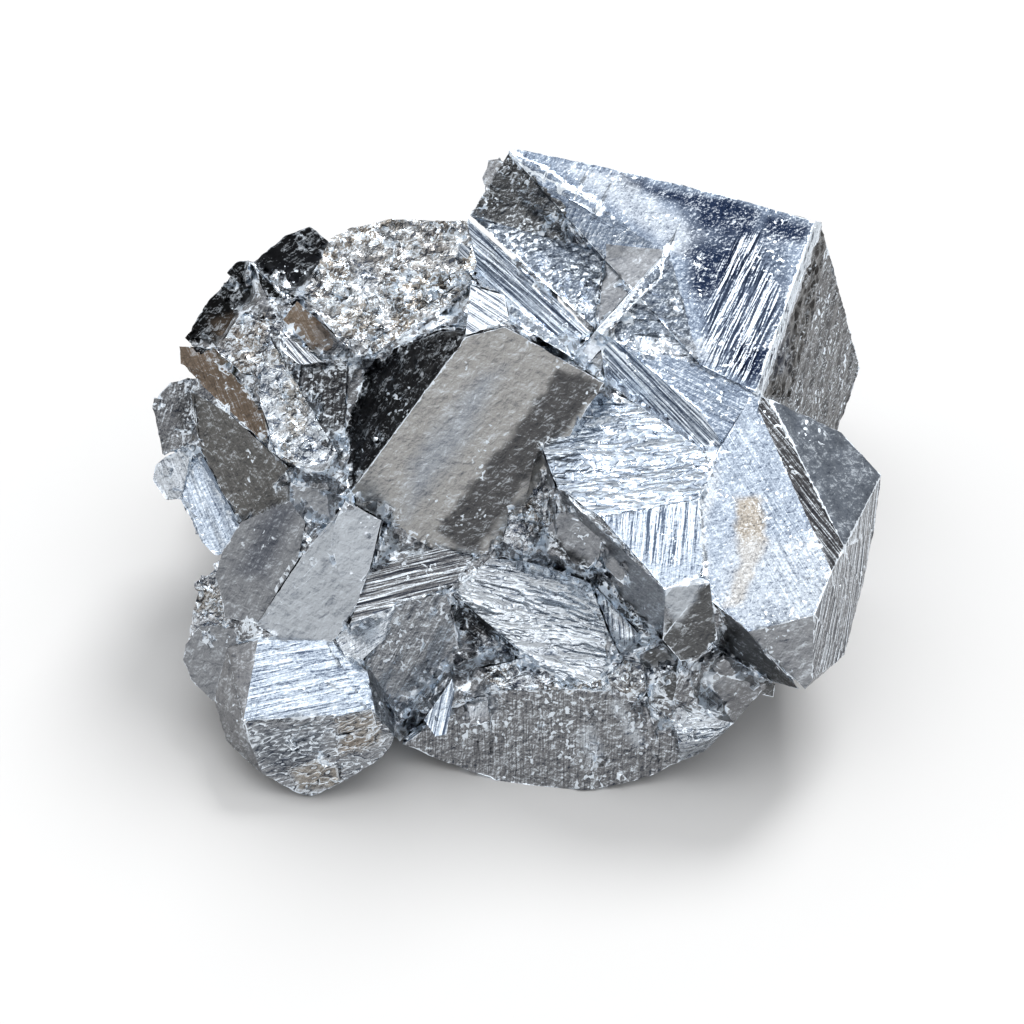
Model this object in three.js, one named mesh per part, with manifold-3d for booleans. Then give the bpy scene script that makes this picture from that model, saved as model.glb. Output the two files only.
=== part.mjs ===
// A pyrite cluster: silver-grey crystals of fool's gold grown into one another as one solid stone.
//
// Every crystal is a flat-faced block. Its faces are drawn as the stone is seen from the front, from one
// viewpoint above the ground: millimetres right and up of the middle of the view, then millimetres
// forward, towards the viewer. Some blocks that only show from behind are placed on the standing stone.
// The finished stone is turned so that +Z is up, and stands on the flats along its underside.

import * as THREE from 'three';
import { ConvexGeometry } from 'three/addons/geometries/ConvexGeometry.js';
import { mergeVertices } from 'three/addons/utils/BufferGeometryUtils.js';
import Module from 'manifold-3d';

const wasm = await Module();
wasm.setup();

// Driving dimensions, in millimetres and degrees
const VIEW_HEIGHT_ANGLE = 38; // how far above the horizon the viewpoint stands
const VIEW_DISTANCE = 570; // from the viewpoint to the middle of the view
const MIDDLE_ABOVE_GROUND = 20.7; // height of the middle of the view over the resting plane
const GROUND_SLAB = 200; // side of the block that trims the underside flat
const ROOT_DEPTH = 0.06; // how far ridges are rooted in the face that they run across
const RIDGE_WIDTH = 0.6;
const RIDGE_HEIGHT = 0.18;
const WELD = 1e-4; // corners closer than this are one corner

const EYE = new THREE.Vector3(0, 0, VIEW_DISTANCE);

// A repeatable source of numbers from 0 to 1 for each rough patch, so that natural scatter comes out
// the same every time.
const CYCLE = 2 ** 32;
const FIRST_STEP = 2654435761;
const MULTIPLIER = 1664525;
const INCREMENT = 1013904223;
let patches = 0;
function scatter() {
  patches += 1;
  let state = (patches * FIRST_STEP) % CYCLE;
  return () => {
    state = (state * MULTIPLIER + INCREMENT) % CYCLE;
    return state / CYCLE;
  };
}

// A corner as drawn, moved along its line of sight to its depth.
function atDepth([right, up, forward]) {
  const near = 1 - forward / VIEW_DISTANCE;
  return new THREE.Vector3(right * near, up * near, forward);
}

// Corners as drawn, moved along their lines of sight onto a plane.
function onPlane(plane, outline) {
  return outline.map(([right, up]) => {
    const sight = new THREE.Vector3(right, up, 0).sub(EYE);
    const reach = -plane.distanceToPoint(EYE) / plane.normal.dot(sight);
    return EYE.clone().addScaledVector(sight, reach);
  });
}

// A face by its first corner and its lean: how far it turns to the right and upwards for each unit
// that it faces forward.
function leaning(first, [right, up], ...outline) {
  const start = atDepth(first);
  const normal = new THREE.Vector3(right, up, 1).normalize();
  const plane = new THREE.Plane().setFromNormalAndCoplanarPoint(normal, start);
  return [start, ...onPlane(plane, outline)];
}

// A face by three corners with their depths; any further corners lie in the same plane.
function through(a, b, c, ...outline) {
  const corners = [a, b, c].map(atDepth);
  const plane = new THREE.Plane().setFromCoplanarPoints(...corners);
  return [...corners, ...onPlane(plane, outline)];
}

// Corners that don't share one plane, such as the far corners of a side that is seen at a slant.
function apart(...outline) {
  return outline.map(atDepth);
}

// A solid that manifold can join, from any closed three.js geometry.
function solid(geometry) {
  const bare = new THREE.BufferGeometry().setAttribute('position', geometry.getAttribute('position'));
  if (geometry.index) bare.setIndex(geometry.index);
  const merged = mergeVertices(bare, WELD);
  return new wasm.Manifold(new wasm.Mesh({
    numProp: 3,
    vertProperties: merged.attributes.position.array,
    triVerts: new Uint32Array(merged.index.array),
  }));
}

function middleOf(points) {
  return points.reduce((sum, p) => sum.add(p), new THREE.Vector3()).divideScalar(points.length);
}

// A convex crystal behind its visible faces. `sink` is how its hidden end lies from its faces, and
// `narrow` how much smaller that end is.
function crystal(faces, sink = [0, 0, -16], narrow = 0.8) {
  const front = faces.flat();
  const middle = middleOf(front);
  const shift = new THREE.Vector3(...sink);
  const back = front.map((p) => p.clone().sub(middle).multiplyScalar(narrow).add(middle).add(shift));
  return solid(new ConvexGeometry([...front, ...back]));
}

// The axes of a face, with `along` as near as it can be to a direction as drawn, and the face's
// corners measured on them.
function axesOf(face, [right, up]) {
  const normal = new THREE.Plane().setFromCoplanarPoints(...face).normal;
  if (normal.z < 0) normal.negate();
  const along = new THREE.Vector3(right, up, 0);
  along.addScaledVector(normal, -along.dot(normal)).normalize();
  const across = new THREE.Vector3().crossVectors(normal, along);
  const middle = middleOf(face);
  const flat = face.map((p) => p.clone().sub(middle)).map((p) => [p.dot(along), p.dot(across)]);
  const place = (s, t, height) => middle.clone().addScaledVector(along, s).addScaledVector(across, t)
    .addScaledVector(normal, height);
  const sides = flat.map(([, t]) => t);
  return { flat, place, low: Math.min(...sides), high: Math.max(...sides) };
}

// Where a line at `t` across a face enters and leaves it.
function crossing(flat, t) {
  const below = flat.filter((p) => p[1] < t);
  const above = flat.filter((p) => p[1] >= t);
  const hits = below.flatMap((a) => above.map((b) => a[0] + (b[0] - a[0]) * (t - a[1]) / (b[1] - a[1])));
  return [Math.min(...hits), Math.max(...hits)];
}

// Striations: low ridges that run across a face in one direction, as drawn, and taper to both ends.
function ridges(face, direction, { spacing, width = RIDGE_WIDTH, height = RIDGE_HEIGHT }) {
  const random = scatter();
  const { flat, place, low, high } = axesOf(face, direction);
  const list = [];
  for (let t = low + spacing * 0.6; t < high - width / 2; t += spacing * (0.6 + 0.8 * random())) {
    const [from, to] = crossing(flat, t);
    const reach = to - from;
    if (reach < 4 * width) continue;
    const start = from + reach * (0.02 + 0.2 * random());
    const end = to - reach * (0.02 + 0.2 * random());
    const crest = start + (end - start) * (0.2 + 0.6 * random());
    list.push(solid(new ConvexGeometry([
      place(crest, t, height),
      place(start, t, -ROOT_DEPTH), place(end, t, -ROOT_DEPTH),
      place(crest, t - width / 2, -ROOT_DEPTH), place(crest, t + width / 2, -ROOT_DEPTH),
    ])));
  }
  return list;
}

// Grains: small cubes that stick out of a rough face, each turned its own way.
function grains(face, { count, size }) {
  const random = scatter();
  const { flat, place, low, high } = axesOf(face, [1, 0]);
  return Array.from({ length: count }, () => {
    const t = low + (high - low) * (0.08 + 0.84 * random());
    const [from, to] = crossing(flat, t);
    const s = from + (to - from) * (0.06 + 0.88 * random());
    const edge = size * (0.6 + 0.8 * random());
    const grain = new THREE.BoxGeometry(edge, edge * (0.7 + 0.5 * random()), edge);
    grain.rotateX(Math.PI * random()).rotateZ(Math.PI * random());
    grain.translate(...place(s, t, -0.12 * edge));
    return solid(grain);
  });
}

// Brings a shape from the standing stone into the drawn view.
function intoView(geometry) {
  return geometry.translate(0, 0, -MIDDLE_ABOVE_GROUND)
    .rotateX(THREE.MathUtils.degToRad(VIEW_HEIGHT_ANGLE - 90));
}

// A plain crystal block on the standing stone: its size, the place of its middle, and its turns.
function block([width, depth, height], [x, y, z], [tiltX, tiltY, turn]) {
  const box = new THREE.BoxGeometry(width, depth, height);
  box.rotateX(THREE.MathUtils.degToRad(tiltX));
  box.rotateY(THREE.MathUtils.degToRad(tiltY));
  box.rotateZ(THREE.MathUtils.degToRad(turn));
  return solid(intoView(box.translate(x, y, z)));
}

// The big cube at the back right: striated top with a bright chamfer down its right edge
const cubeTop = leaning([30.4, 29.1, -10], [-0.131, 0.533], [21.0, 31.8], [10.0, 34.4], [0.0, 36.5],
  [-0.5, 36.1], [15.6, 26.2], [18.8, 14.7], [24.4, 12.0]);
const cubeChamfer = apart([31.0, 29.0, -10.5], [25.0, 12.0, -2.2]);
const cubeWing = leaning([15.6, 26.2, -10.5], [-0.1, 0.5], [18.9, 14.5], [8.8, 17.9], [13.0, 15.8]);
const notchLedge = leaning([-0.4, 36.2, -18.1], [-0.2, 0.4], [3.0, 34.6], [9.0, 30.6], [15.6, 26.3],
  [12.0, 27.4], [4.0, 31.6]);
const notchDark = through([-0.4, 36.0, -18.3], [-4.2, 29.7, -19.2], [5.5, 27.0, -14.6], [5.2, 31.0]);
const notchPale = through([-4.2, 29.7, -19.2], [8.3, 18.2, -8.6], [5.5, 27.0, -14.6], [9.3, 26.2]);
const notchSmooth = through([9.5, 26.9, -12.6], [15.6, 26.2, -10.7], [8.3, 18.2, -8.6], [9.2, 24.0]);
const notchBevel = leaning([15.6, 26.2, -10.5], [0.1, 0.5], [16.2, 24.8], [13.8, 22.4], [9.1, 17.6],
  [8.3, 18.2]);
const notchKnob = leaning([-1.2, 35.6, -19.5], [-0.6, 0.2], [-2.4, 35.2], [-3.0, 33.4], [-2.7, 31.7],
  [-1.0, 33.0]);
const bandBelowNotch = through([-4.4, 29.4, -19.3], [8.1, 17.9, -8.8], [-6.5, 25.5, -18.6], [0.9, 20.6],
  [6.3, 15.7]);
const backCube = [
  crystal([cubeTop, cubeChamfer], [5.6, -14.2, -27.4], 1),
  crystal([cubeWing]),
  crystal([notchLedge]),
  crystal([notchDark]),
  crystal([notchPale]),
  crystal([notchSmooth]),
  crystal([notchBevel]),
  crystal([notchKnob], [2, -2, -8]),
  crystal([bandBelowNotch]),
  crystal([leaning([8.3, 18.2, -7.4], [0, 0.45], [10.0, 17.5], [7.3, 14.4], [6.1, 15.4])]),
  ...ridges(cubeTop, [6.0, 17.0], { spacing: 3.0, width: 0.7, height: 0.2 }),
  ...ridges(cubeWing, [1, -0.1], { spacing: 2.2 }),
  ...ridges(notchLedge, [12.6, -9.3], { spacing: 1.1, width: 0.6, height: 0.35 }),
  ...ridges(bandBelowNotch, [12.5, -11.5], { spacing: 1.6 }),
  ...grains(notchPale, { count: 4, size: 0.8 }),
  ...grains(notchDark, { count: 4, size: 0.9 }),
];

// The saddle that joins the back cube, the plate and the right block
const saddlePale = leaning([25.0, 12.0, -1.8], [-0.18, 0.4], [18.8, 14.7], [12.8, 16.0], [10.0, 17.5],
  [12.8, 14.0], [16.8, 10.2], [20.8, 7.2], [24.3, 8.7]);
const saddleStriped = through([10.0, 17.5, -6.4], [21.0, 7.2, -0.3], [9.3, 13.2, -5.9], [18.8, 10.2],
  [8.8, 16.7], [12.8, 10.7], [20.0, 5.0]);
const saddle = [
  crystal([saddlePale]),
  crystal([saddleStriped]),
  ...ridges(saddleStriped, [11, -10.3], { spacing: 1.3, width: 0.7, height: 0.3 }),
];

// The big block at the right, with an overhanging front corner
const blockTop = leaning([24.0, 11.8, -2], [0.1, 0.5], [20.6, 6.2], [18.6, 1.0], [19.3, -5.8],
  [19.8, -8.8], [23.6, -12.0], [26.8, -11.2], [30.3, -10.3], [32.0, -6.3], [23.6, 7.2]);
const blockBand = through([24.3, 11.7, -2.1], [25.8, 11.4, -2.6], [33.3, -3.6, 4.2], [32.0, -6.0]);
const blockRight = through([25.8, 11.4, -2.6], [33.3, -3.6, 4.2], [37.0, 3.7, -4.6], [33.0, 8.0]);
const blockSide = apart([37.0, 3.7, -4.6], [36.3, -1.8, -4], [35.0, -7.8, -2], [33.3, -14.3, 0.4],
  [30.1, -16.8, 6.0], [29.3, -17.8, 5.8]);
const blockFront = through([23.6, -12.0, 9.9], [30.3, -10.3, 8.4], [29.3, -17.8, 5.8], [30.0, -16.8]);
const blockUnder = through([19.8, -8.8, 8.6], [23.6, -12.0, 9.9], [25.8, -17.0, 4.6], [28.8, -17.8],
  [20.3, -13.8]);
const rightBlock = [
  crystal([blockTop, blockBand, blockRight, blockSide, blockFront], [-5, 3, -22], 0.8),
  crystal([blockUnder], [-2, 4, -12], 0.7),
  crystal([leaning([24.6, -16.6, 2.5], [0.2, -0.5], [26.4, -17.2], [26.2, -18.6], [25.0, -18.4])],
    [0, 3, -8]),
  ...ridges(blockBand, [9, -17.2], { spacing: 0.9, width: 0.45, height: 0.2 }),
  ...ridges(blockRight, [7.5, -15.0], { spacing: 3.0, width: 0.5, height: 0.12 }),
  ...grains(leaning([22.0, -10.4, 8.7], [0.1, 0.5], [29.8, -9.8], [31.0, -6.0], [26.0, -2.0]),
    { count: 5, size: 0.9 }),
];

// The plate in the middle: a bright striated top over a dark broken side
const plateUpper = leaning([20.2, 4.2, 3.2], [0.03, 0.5], [18.8, 6.4], [14.3, 9.7], [12.5, 10.9],
  [8.8, 12.4], [6.3, 11.2], [2.9, 6.5], [3.7, 4.8], [4.4, 2.5], [8.8, -0.6], [18.8, 1.2]);
const plateLower = leaning([18.8, 1.4, 4.7], [0.09, 0.48], [8.8, -0.5], [10.8, -1.8], [15.3, -7.8],
  [18.8, -6.6], [19.3, -5.3], [18.5, -1.8]);
const plateSide = through([4.4, 2.5, 4.6], [15.3, -7.8, 9.3], [15.5, -12.5, 4.4], [14.0, -12.6],
  [8.8, -6.8], [4.4, -2.4]);
const plateSideUpper = through([2.9, 6.5, 2.4], [4.4, 2.5, 4.4], [1.2, -1.8, -1.4], [-0.2, 0.6],
  [4.4, -2.4]);
const plate = [
  crystal([plateUpper]),
  crystal([plateLower]),
  crystal([plateSide], [1, 3, -12], 0.75),
  crystal([plateSideUpper]),
  crystal([leaning([4.8, 0.3, 3.4], [-0.35, 0.2], [3.4, -1.8], [5.8, -4.9], [7.6, -5.7], [8.8, -4.6],
    [8.9, -1.8], [6.8, 0.1]), leaning([3.4, -2.2, 1.6], [-0.5, -0.7], [7.6, -6.2])], [0, 0, -8]),
  crystal([leaning([9.0, -2.0, 5.4], [-0.5, -0.3], [9.2, -5.6], [11.2, -7.4], [11.4, -4.4])], [0, 1, -8]),
  ...ridges(plateUpper, [1, 0.1], { spacing: 1.9, width: 0.7, height: 0.22 }),
  ...ridges(plateLower, [0.12, 1], { spacing: 1.4, width: 0.5, height: 0.18 }),
  ...grains(plateSide, { count: 7, size: 0.8 }),
  ...grains(plateSideUpper, { count: 4, size: 0.8 }),
];

// The small dark cube at the plate's low corner
const smallCube = [
  crystal([
    leaning([19.8, -7.0, 9.8], [0.25, -0.45], [20.5, -12.8], [18.8, -14.6], [16.8, -15.0],
      [15.0, -12.8], [16.3, -11.0]),
    apart([15.3, -7.5, 8.6], [18.8, -6.5, 8.8]),
  ], [1, 2, -12]),
  crystal([leaning([12.4, -14.4, 3.8], [-0.1, 0.1], [15.0, -12.9], [17.0, -15.2], [16.2, -19.0],
    [13.6, -18.6])]),
  crystal([leaning([9.4, -16.4, 4.4], [-0.25, 0.15], [11.2, -14.7], [13.2, -15.2], [13.6, -18.2],
    [12.4, -19.2], [10.0, -18.6])], [0, 1, -8]),
  ...grains(leaning([12.4, -14.0, 4.0], [-0.1, 0.1], [16.5, -14.5], [15.0, -18.0]),
    { count: 5, size: 0.9 }),
];

// The upright matt block in the middle, its black left side and the bright tip at its top
const uprightFace = through([-0.7, 18.6, 8], [9.3, 12.9, 4.3], [-16.7, 1.4, 0.9], [-4.7, 17.5],
  [4.3, 6.2], [-1.2, -3.3], [-3.7, -4.8], [-8.2, -3.6]);
const uprightSide = through([-4.7, 17.5, 7.4], [-16.7, 1.4, 0.9], [-14.2, 15.4, -4.5], [-7.2, 18.2],
  [-16.6, 14.4], [-16.7, 4.2]);
const uprightTip = leaning([-4.2, 22.7, 5.6], [-0.05, 0.45], [-0.7, 21.7], [-0.2, 19.2], [-4.7, 17.6]);
const upright = [
  crystal([uprightFace, uprightSide], [0, 3, -18], 0.85),
  crystal([uprightTip], [0, 1, -12]),
  crystal([leaning([-0.7, 21.5, 4.4], [-0.1, 0.3], [-0.2, 19.2], [6.1, 15.3], [5.6, 16.6])]),
  ...grains(uprightSide, { count: 3, size: 0.8 }),
];

// The rough valley between the upright block and the ledge
const valley = [
  crystal([through([3.0, 5.4, 0.8], [1.2, -0.6, -3.4], [-2.2, -4.4, -5.0], [-3.7, -4.7], [3.6, 2.2])]),
  crystal([leaning([-0.4, 0.2, -0.6], [0.1, 0.25], [2.6, 1.8], [3.4, -1.6], [1.8, -4.8], [-1.0, -3.0])]),
  ...grains(leaning([-0.4, 0.2, -0.3], [0.1, 0.25], [2.6, 1.8], [3.4, -1.6], [1.8, -4.8]),
    { count: 5, size: 0.8 }),
];

// The bright ledge under the plate
const ledgeTop = leaning([-6.2, -7.8, -1.4], [-0.02, 0.5], [-2.2, -4.5], [1.8, -5.0], [6.3, -6.6],
  [7.8, -7.0], [10.0, -12.8], [9.6, -15.6], [8.8, -17.0], [5.8, -17.0], [2.8, -15.6], [-1.2, -12.3]);
const ledgeRight = leaning([7.8, -6.8, -1.9], [-0.12, 0.45], [12.8, -12.3], [12.4, -14.6],
  [10.8, -14.4], [9.2, -10.6]);
const ledge = [
  crystal([ledgeTop, apart([-3.4, -11.6, -2.6])]),
  crystal([ledgeRight]),
  ...ridges(ledgeTop, [1, -0.25], { spacing: 2.2, width: 0.6, height: 0.18 }),
  ...ridges(ledgeRight, [0.1, -1], { spacing: 0.9, width: 0.4, height: 0.16 }),
];

// The front foot: a broad wall that the stone stands on
const footLeft = leaning([7.3, -27.9, 2.2], [-0.2, -0.26], [4.4, -27.1], [-1.2, -27.0], [-5.2, -25.3],
  [-7.2, -24.9], [-11.0, -23.2], [-7.2, -22.0], [-4.7, -19.0], [-1.2, -17.9], [7.3, -17.7]);
const footRight = leaning([7.3, -27.9, 2.2], [0.12, -0.26], [9.8, -27.5], [13.8, -26.5], [16.8, -25.0],
  [16.4, -22.0], [12.8, -18.8], [9.8, -17.8], [7.3, -17.7]);
const footSlope = through([-1.2, -17.9, 3.4], [9.8, -17.8, 4.4], [2.0, -14.4, 0.6], [11.6, -15.0],
  [-3.6, -15.6]);
const footDark = leaning([0.6, -13.9, -0.5], [-0.5, -0.3], [-5.6, -9.0], [-5.6, -14.0], [-5.8, -17.6],
  [-4.7, -19.2], [-1.2, -18.0]);
const footEnd = leaning([20.5, -13.8, 1.0], [0.2, -0.3], [25.3, -16.8], [25.2, -17.8], [22.3, -21.0],
  [16.3, -19.1], [17.8, -16.0]);
const footEndLow = leaning([16.3, -19.3, 3.4], [0.05, 0.35], [22.3, -21.1], [19.8, -22.8], [16.6, -23.2]);
const foot = [
  crystal([footLeft], [0, 3, -18], 0.9),
  crystal([footRight], [0, 3, -18], 0.9),
  crystal([footSlope]),
  crystal([footDark], [0, 2, -12]),
  crystal([footEnd], [-2, 3, -16]),
  crystal([footEndLow, apart([19.3, -24.1, 1.6], [16.8, -25.0, 2.0])], [-1, 3, -14]),
  crystal([leaning([-6.0, -16.6, 1.6], [-0.1, 0.35], [-5.7, -17.9], [-6.5, -22.3], [-7.7, -22.5],
    [-8.9, -20.8])], [0, 2, -6]),
  crystal([leaning([-4.7, -19.1, 3.4], [-0.1, 0.4], [-2.4, -18.8], [-2.0, -21.0], [-4.2, -21.6])],
    [0, 1, -5]),
  crystal([leaning([12.8, -19.2, 5.4], [0.2, 0.3], [13.5, -19.4], [14.7, -22.8], [13.9, -22.9])],
    [0, 1, -5]),
  ...ridges(footLeft, [0.04, 1], { spacing: 2.0, width: 0.5, height: 0.16 }),
  ...ridges(footRight, [0.02, 1], { spacing: 2.2, width: 0.5, height: 0.16 }),
  ...grains(footSlope, { count: 6, size: 0.8 }),
  ...grains(footLeft, { count: 3, size: 0.8 }),
  ...grains(footRight, { count: 5, size: 0.9 }),
  ...grains(footEndLow, { count: 3, size: 0.8 }),
];

// The block at the lower left, which stands in front: striated top, blocky front, smooth left side
const cornerTop = leaning([-17.9, -12.8, 1.5], [-0.05, 0.45], [-16.7, -14.6], [-14.4, -16.0],
  [-13.7, -18.8], [-13.7, -20.0], [-17.7, -21.0], [-26.9, -20.8], [-26.6, -17.8], [-25.4, -12.7],
  [-22.0, -14.0]);
const cornerFront = leaning([-17.7, -21.0, 5.2], [-0.05, -0.27], [-13.7, -20.0], [-11.7, -22.3],
  [-11.9, -23.3], [-13.2, -24.8], [-18.2, -27.8], [-20.0, -28.5], [-21.2, -28.3], [-25.0, -26.3],
  [-26.2, -23.3], [-26.9, -20.9]);
const cornerSide = apart([-28.6, -13.6, 0.4], [-29.0, -17.6, 0.8], [-29.9, -18.8, 0],
  [-28.7, -22.8, 0.6], [-25.4, -26.0, 2.2]);
const corner = [
  crystal([cornerTop, cornerFront, cornerSide], [2, 5, -16], 0.8),
  crystal([leaning([-17.9, -20.4, 5.8], [0, -0.1], [-14.0, -19.6], [-13.4, -21.6], [-17.7, -22.4])],
    [0, 1, -5]),
  crystal([leaning([-17.8, -22.4, 5.4], [0.02, -0.15], [-13.9, -21.6], [-13.6, -23.2], [-17.4, -24.2])],
    [0, 1, -5]),
  crystal([leaning([-22.6, -25.8, 4.4], [-0.1, -0.1], [-19.4, -24.6], [-18.6, -25.6], [-19.6, -27.2],
    [-21.8, -27.4])], [0, 1, -5]),
  crystal([leaning([-19.2, -25.6, 4.6], [0.1, -0.1], [-17.4, -25.2], [-17.2, -26.8], [-19.4, -27.4])],
    [0, 1, -5]),
  ...ridges(cornerTop, [1, 0.22], { spacing: 1.1, width: 0.5, height: 0.2 }),
  ...ridges(cornerFront, [1, 0.3], { spacing: 1.9, width: 0.6, height: 0.16 }),
  ...grains(cornerFront, { count: 3, size: 0.8 }),
];

// The tan face above it, the whorled face beside that, and the rough strip down the left edge
const tanFace = through([-16.7, 1.0, 3.9], [-25.6, -11.3, 0.1], [-17.7, -12.8, 1.7], [-13.2, -0.8],
  [-14.2, -5.8], [-15.7, -9.8], [-21.2, -14.0], [-21.5, -5.0], [-20.2, -3.9]);
const tanBlue = leaning([-16.7, 1.2, 4.1], [0.05, 0.12], [-13.0, -0.8], [-14.2, -5.8], [-15.0, -7.0],
  [-17.2, -6.6], [-18.2, -3.4], [-17.7, -0.8]);
const whorlFace = leaning([-22.2, 1.2, 0.4], [-0.45, 0.1], [-27.2, -1.0], [-29.0, -3.8], [-29.7, -6.3],
  [-28.7, -10.6], [-25.5, -11.2], [-21.4, -4.8], [-20.6, -1.0]);
const leftStrip = leaning([-28.7, -4.6, -3.6], [-0.7, 0.15], [-31.2, -6.8], [-32.0, -9.8],
  [-32.5, -12.8], [-31.2, -13.0], [-27.2, -10.4], [-27.2, -8.0]);
const leftLump = leaning([-27.7, -11.6, -1.4], [-0.5, 0.1], [-31.2, -11.2], [-32.7, -13.2],
  [-32.9, -14.8], [-32.2, -16.8], [-29.9, -19.0], [-28.6, -17.6], [-27.6, -14.0]);
const lowerLeft = [
  crystal([tanFace]),
  crystal([tanBlue], [1, 0, -14]),
  crystal([whorlFace]),
  crystal([leftStrip], [4, 2, -16]),
  crystal([leftLump], [4, 3, -12]),
  crystal([leaning([-22.2, 3.0, -2.0], [-0.15, 0.05], [-16.6, 1.6], [-17.8, -3.2], [-20.8, -4.6],
    [-22.4, -1.0])]),
  ...ridges(leaning([-25.0, -11.0, 0.4], [-0.226, -0.141], [-22.0, -6.0], [-16.4, -9.0], [-19.0, -12.6]),
    [1, 0.75], { spacing: 2.6, width: 0.6, height: 0.12 }),
  ...ridges(whorlFace, [0.55, 1], { spacing: 2.0, width: 0.6, height: 0.18 }),
  ...grains(leftStrip, { count: 4, size: 0.9 }),
  ...grains(leftLump, { count: 3, size: 0.9 }),
  ...grains(tanBlue, { count: 2, size: 0.7 }),
];

// The band of lines, the bright rough square and the fan-shaped grey face between corner and foot
const lineBand = through([-14.4, -5.6, 1.7], [-3.4, -4.2, -3.3], [-11.7, -9.0, 2.0], [-7.2, -3.4],
  [-5.8, -7.4], [-16.2, -11.2], [-15.4, -8.8]);
const roughSquare = through([-17.7, -12.7, 1.6], [-11.5, -9.1, 2.3], [-12.7, -12.8, 3.6],
  [-16.2, -11.0], [-16.7, -14.4], [-15.0, -14.8]);
const fanFace = through([-11.7, -9.0, 2.2], [-6.3, -8.0, 0], [-11.2, -23.0, -3.0], [-5.3, -12.8],
  [-5.4, -14.8], [-8.7, -20.6], [-11.9, -22.3], [-13.4, -18.3], [-15.0, -15.3], [-12.7, -12.8]);
const middle = [
  crystal([lineBand]),
  crystal([roughSquare]),
  crystal([fanFace]),
  ...ridges(lineBand, [1, 0.36], { spacing: 0.9, width: 0.5, height: 0.24 }),
  ...ridges(roughSquare, [1, 0.5], { spacing: 1.0, width: 0.5, height: 0.18 }),
  ...grains(fanFace, { count: 3, size: 0.7 }),
];

// The left side: smooth grey and brown faces over a pale low crystal and a knob at the edge
const leftSmooth = through([-23.9, 5.7, -3], [-32.3, 12.2, -9], [-27.2, -1.4, -7], [-22.3, 4.4],
  [-24.4, 2.0], [-31.3, 6.2], [-28.7, 10.2]);
const leftBrown = through([-23.9, 6.0, -3], [-31.0, 12.6, -8.6], [-25.0, 10.4, -4.4], [-27.7, 13.6],
  [-29.7, 15.1], [-33.0, 14.8]);
const leftPale = leaning([-27.0, -1.5, -8.2], [-0.25, 0.4], [-28.4, -3.8], [-29.7, -4.4], [-30.9, -3.3],
  [-31.2, -0.8], [-33.2, 1.2], [-31.9, 7.0]);
const leftPaleEdge = leaning([-31.9, 7.0, -12.2], [-0.3, 0.3], [-34.7, 5.5], [-35.7, 4.7], [-36.0, 3.2],
  [-34.7, 1.2], [-33.0, 1.2]);
const leftKnob = leaning([-32.0, 6.8, -10.5], [-0.5, 0.15], [-32.3, 13.4], [-34.2, 13.0], [-35.4, 11.7],
  [-36.0, 10.4], [-35.5, 8.2], [-35.0, 5.7]);
const leftSide = [
  crystal([leftSmooth]),
  crystal([leftBrown]),
  crystal([leftPale], [3, 0, -14]),
  crystal([leaning([-22.0, 4.6, -3.6], [-0.15, 0.05], [-23.8, 3.6], [-26.6, -0.8], [-24.4, -1.8],
    [-21.4, 0.6])]),
  crystal([leftPaleEdge], [4, 0, -10]),
  crystal([leftKnob], [4, 1, -12]),
  ...grains(leftKnob, { count: 4, size: 0.9 }),
  ...grains(leftPaleEdge, { count: 2, size: 0.8 }),
];

// The rough crown at the upper left: bright grains, black broken ends, brown faces and a white strip
const crownTop = leaning([-4.2, 22.5, -4.2], [0, 0.45], [-3.4, 25.0], [-4.4, 29.2], [-12.4, 29.4],
  [-16.6, 28.3], [-18.2, 27.4], [-21.2, 21.5], [-16.8, 16.6], [-14.0, 16.2]);
const crownRidge = leaning([-14.2, 15.4, -0.6], [-0.1, 0.3], [-3.6, 22.9], [-4.2, 23.6], [-14.6, 16.8]);
const crownBlack = leaning([-20.2, 28.7, -11.4], [-0.2, 0.1], [-18.4, 27.2], [-18.6, 25.2],
  [-21.2, 22.7], [-23.7, 22.5], [-25.2, 23.4], [-26.0, 25.0], [-22.7, 27.7]);
const crownBlackLow = leaning([-26.2, 25.0, -12.6], [-0.55, 0.1], [-28.2, 23.7], [-31.2, 20.2],
  [-32.9, 17.4], [-31.2, 15.7], [-29.7, 16.6], [-27.4, 20.2], [-26.2, 22.2]);
const crownBack = leaning([-24.7, 21.4, -6.0], [-0.3, 0.35], [-26.0, 24.8], [-23.8, 22.6], [-22.4, 21.2]);
const crownMid = leaning([-22.7, 20.2, -4.6], [-0.4, 0.25], [-27.2, 20.0], [-29.7, 16.2], [-27.2, 13.9],
  [-25.0, 13.2], [-23.0, 15.0]);
const crownBrown = leaning([-21.5, 21.2, -3.4], [0.3, -0.1], [-16.7, 16.7], [-17.6, 15.6],
  [-19.4, 15.6], [-23.0, 19.2]);
const crownWhite = leaning([-23.2, 18.2, -3.0], [-0.1, 0.4], [-18.8, 15.0], [-21.2, 14.6], [-23.2, 16.2]);
const crownStrip = leaning([-24.2, 17.6, -3.6], [-0.12, 0.3], [-23.0, 15.2], [-21.5, 11.2],
  [-20.5, 7.0], [-17.4, 5.9], [-18.7, 4.7], [-21.2, 4.2], [-23.7, 5.7], [-24.4, 8.4], [-25.6, 12.0]);
const crownGrey = leaning([-22.9, 14.8, -2.4], [0.1, 0], [-16.4, 15.2], [-16.7, 6.2], [-17.7, 5.5],
  [-20.4, 6.6], [-21.7, 11.0]);
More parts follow.
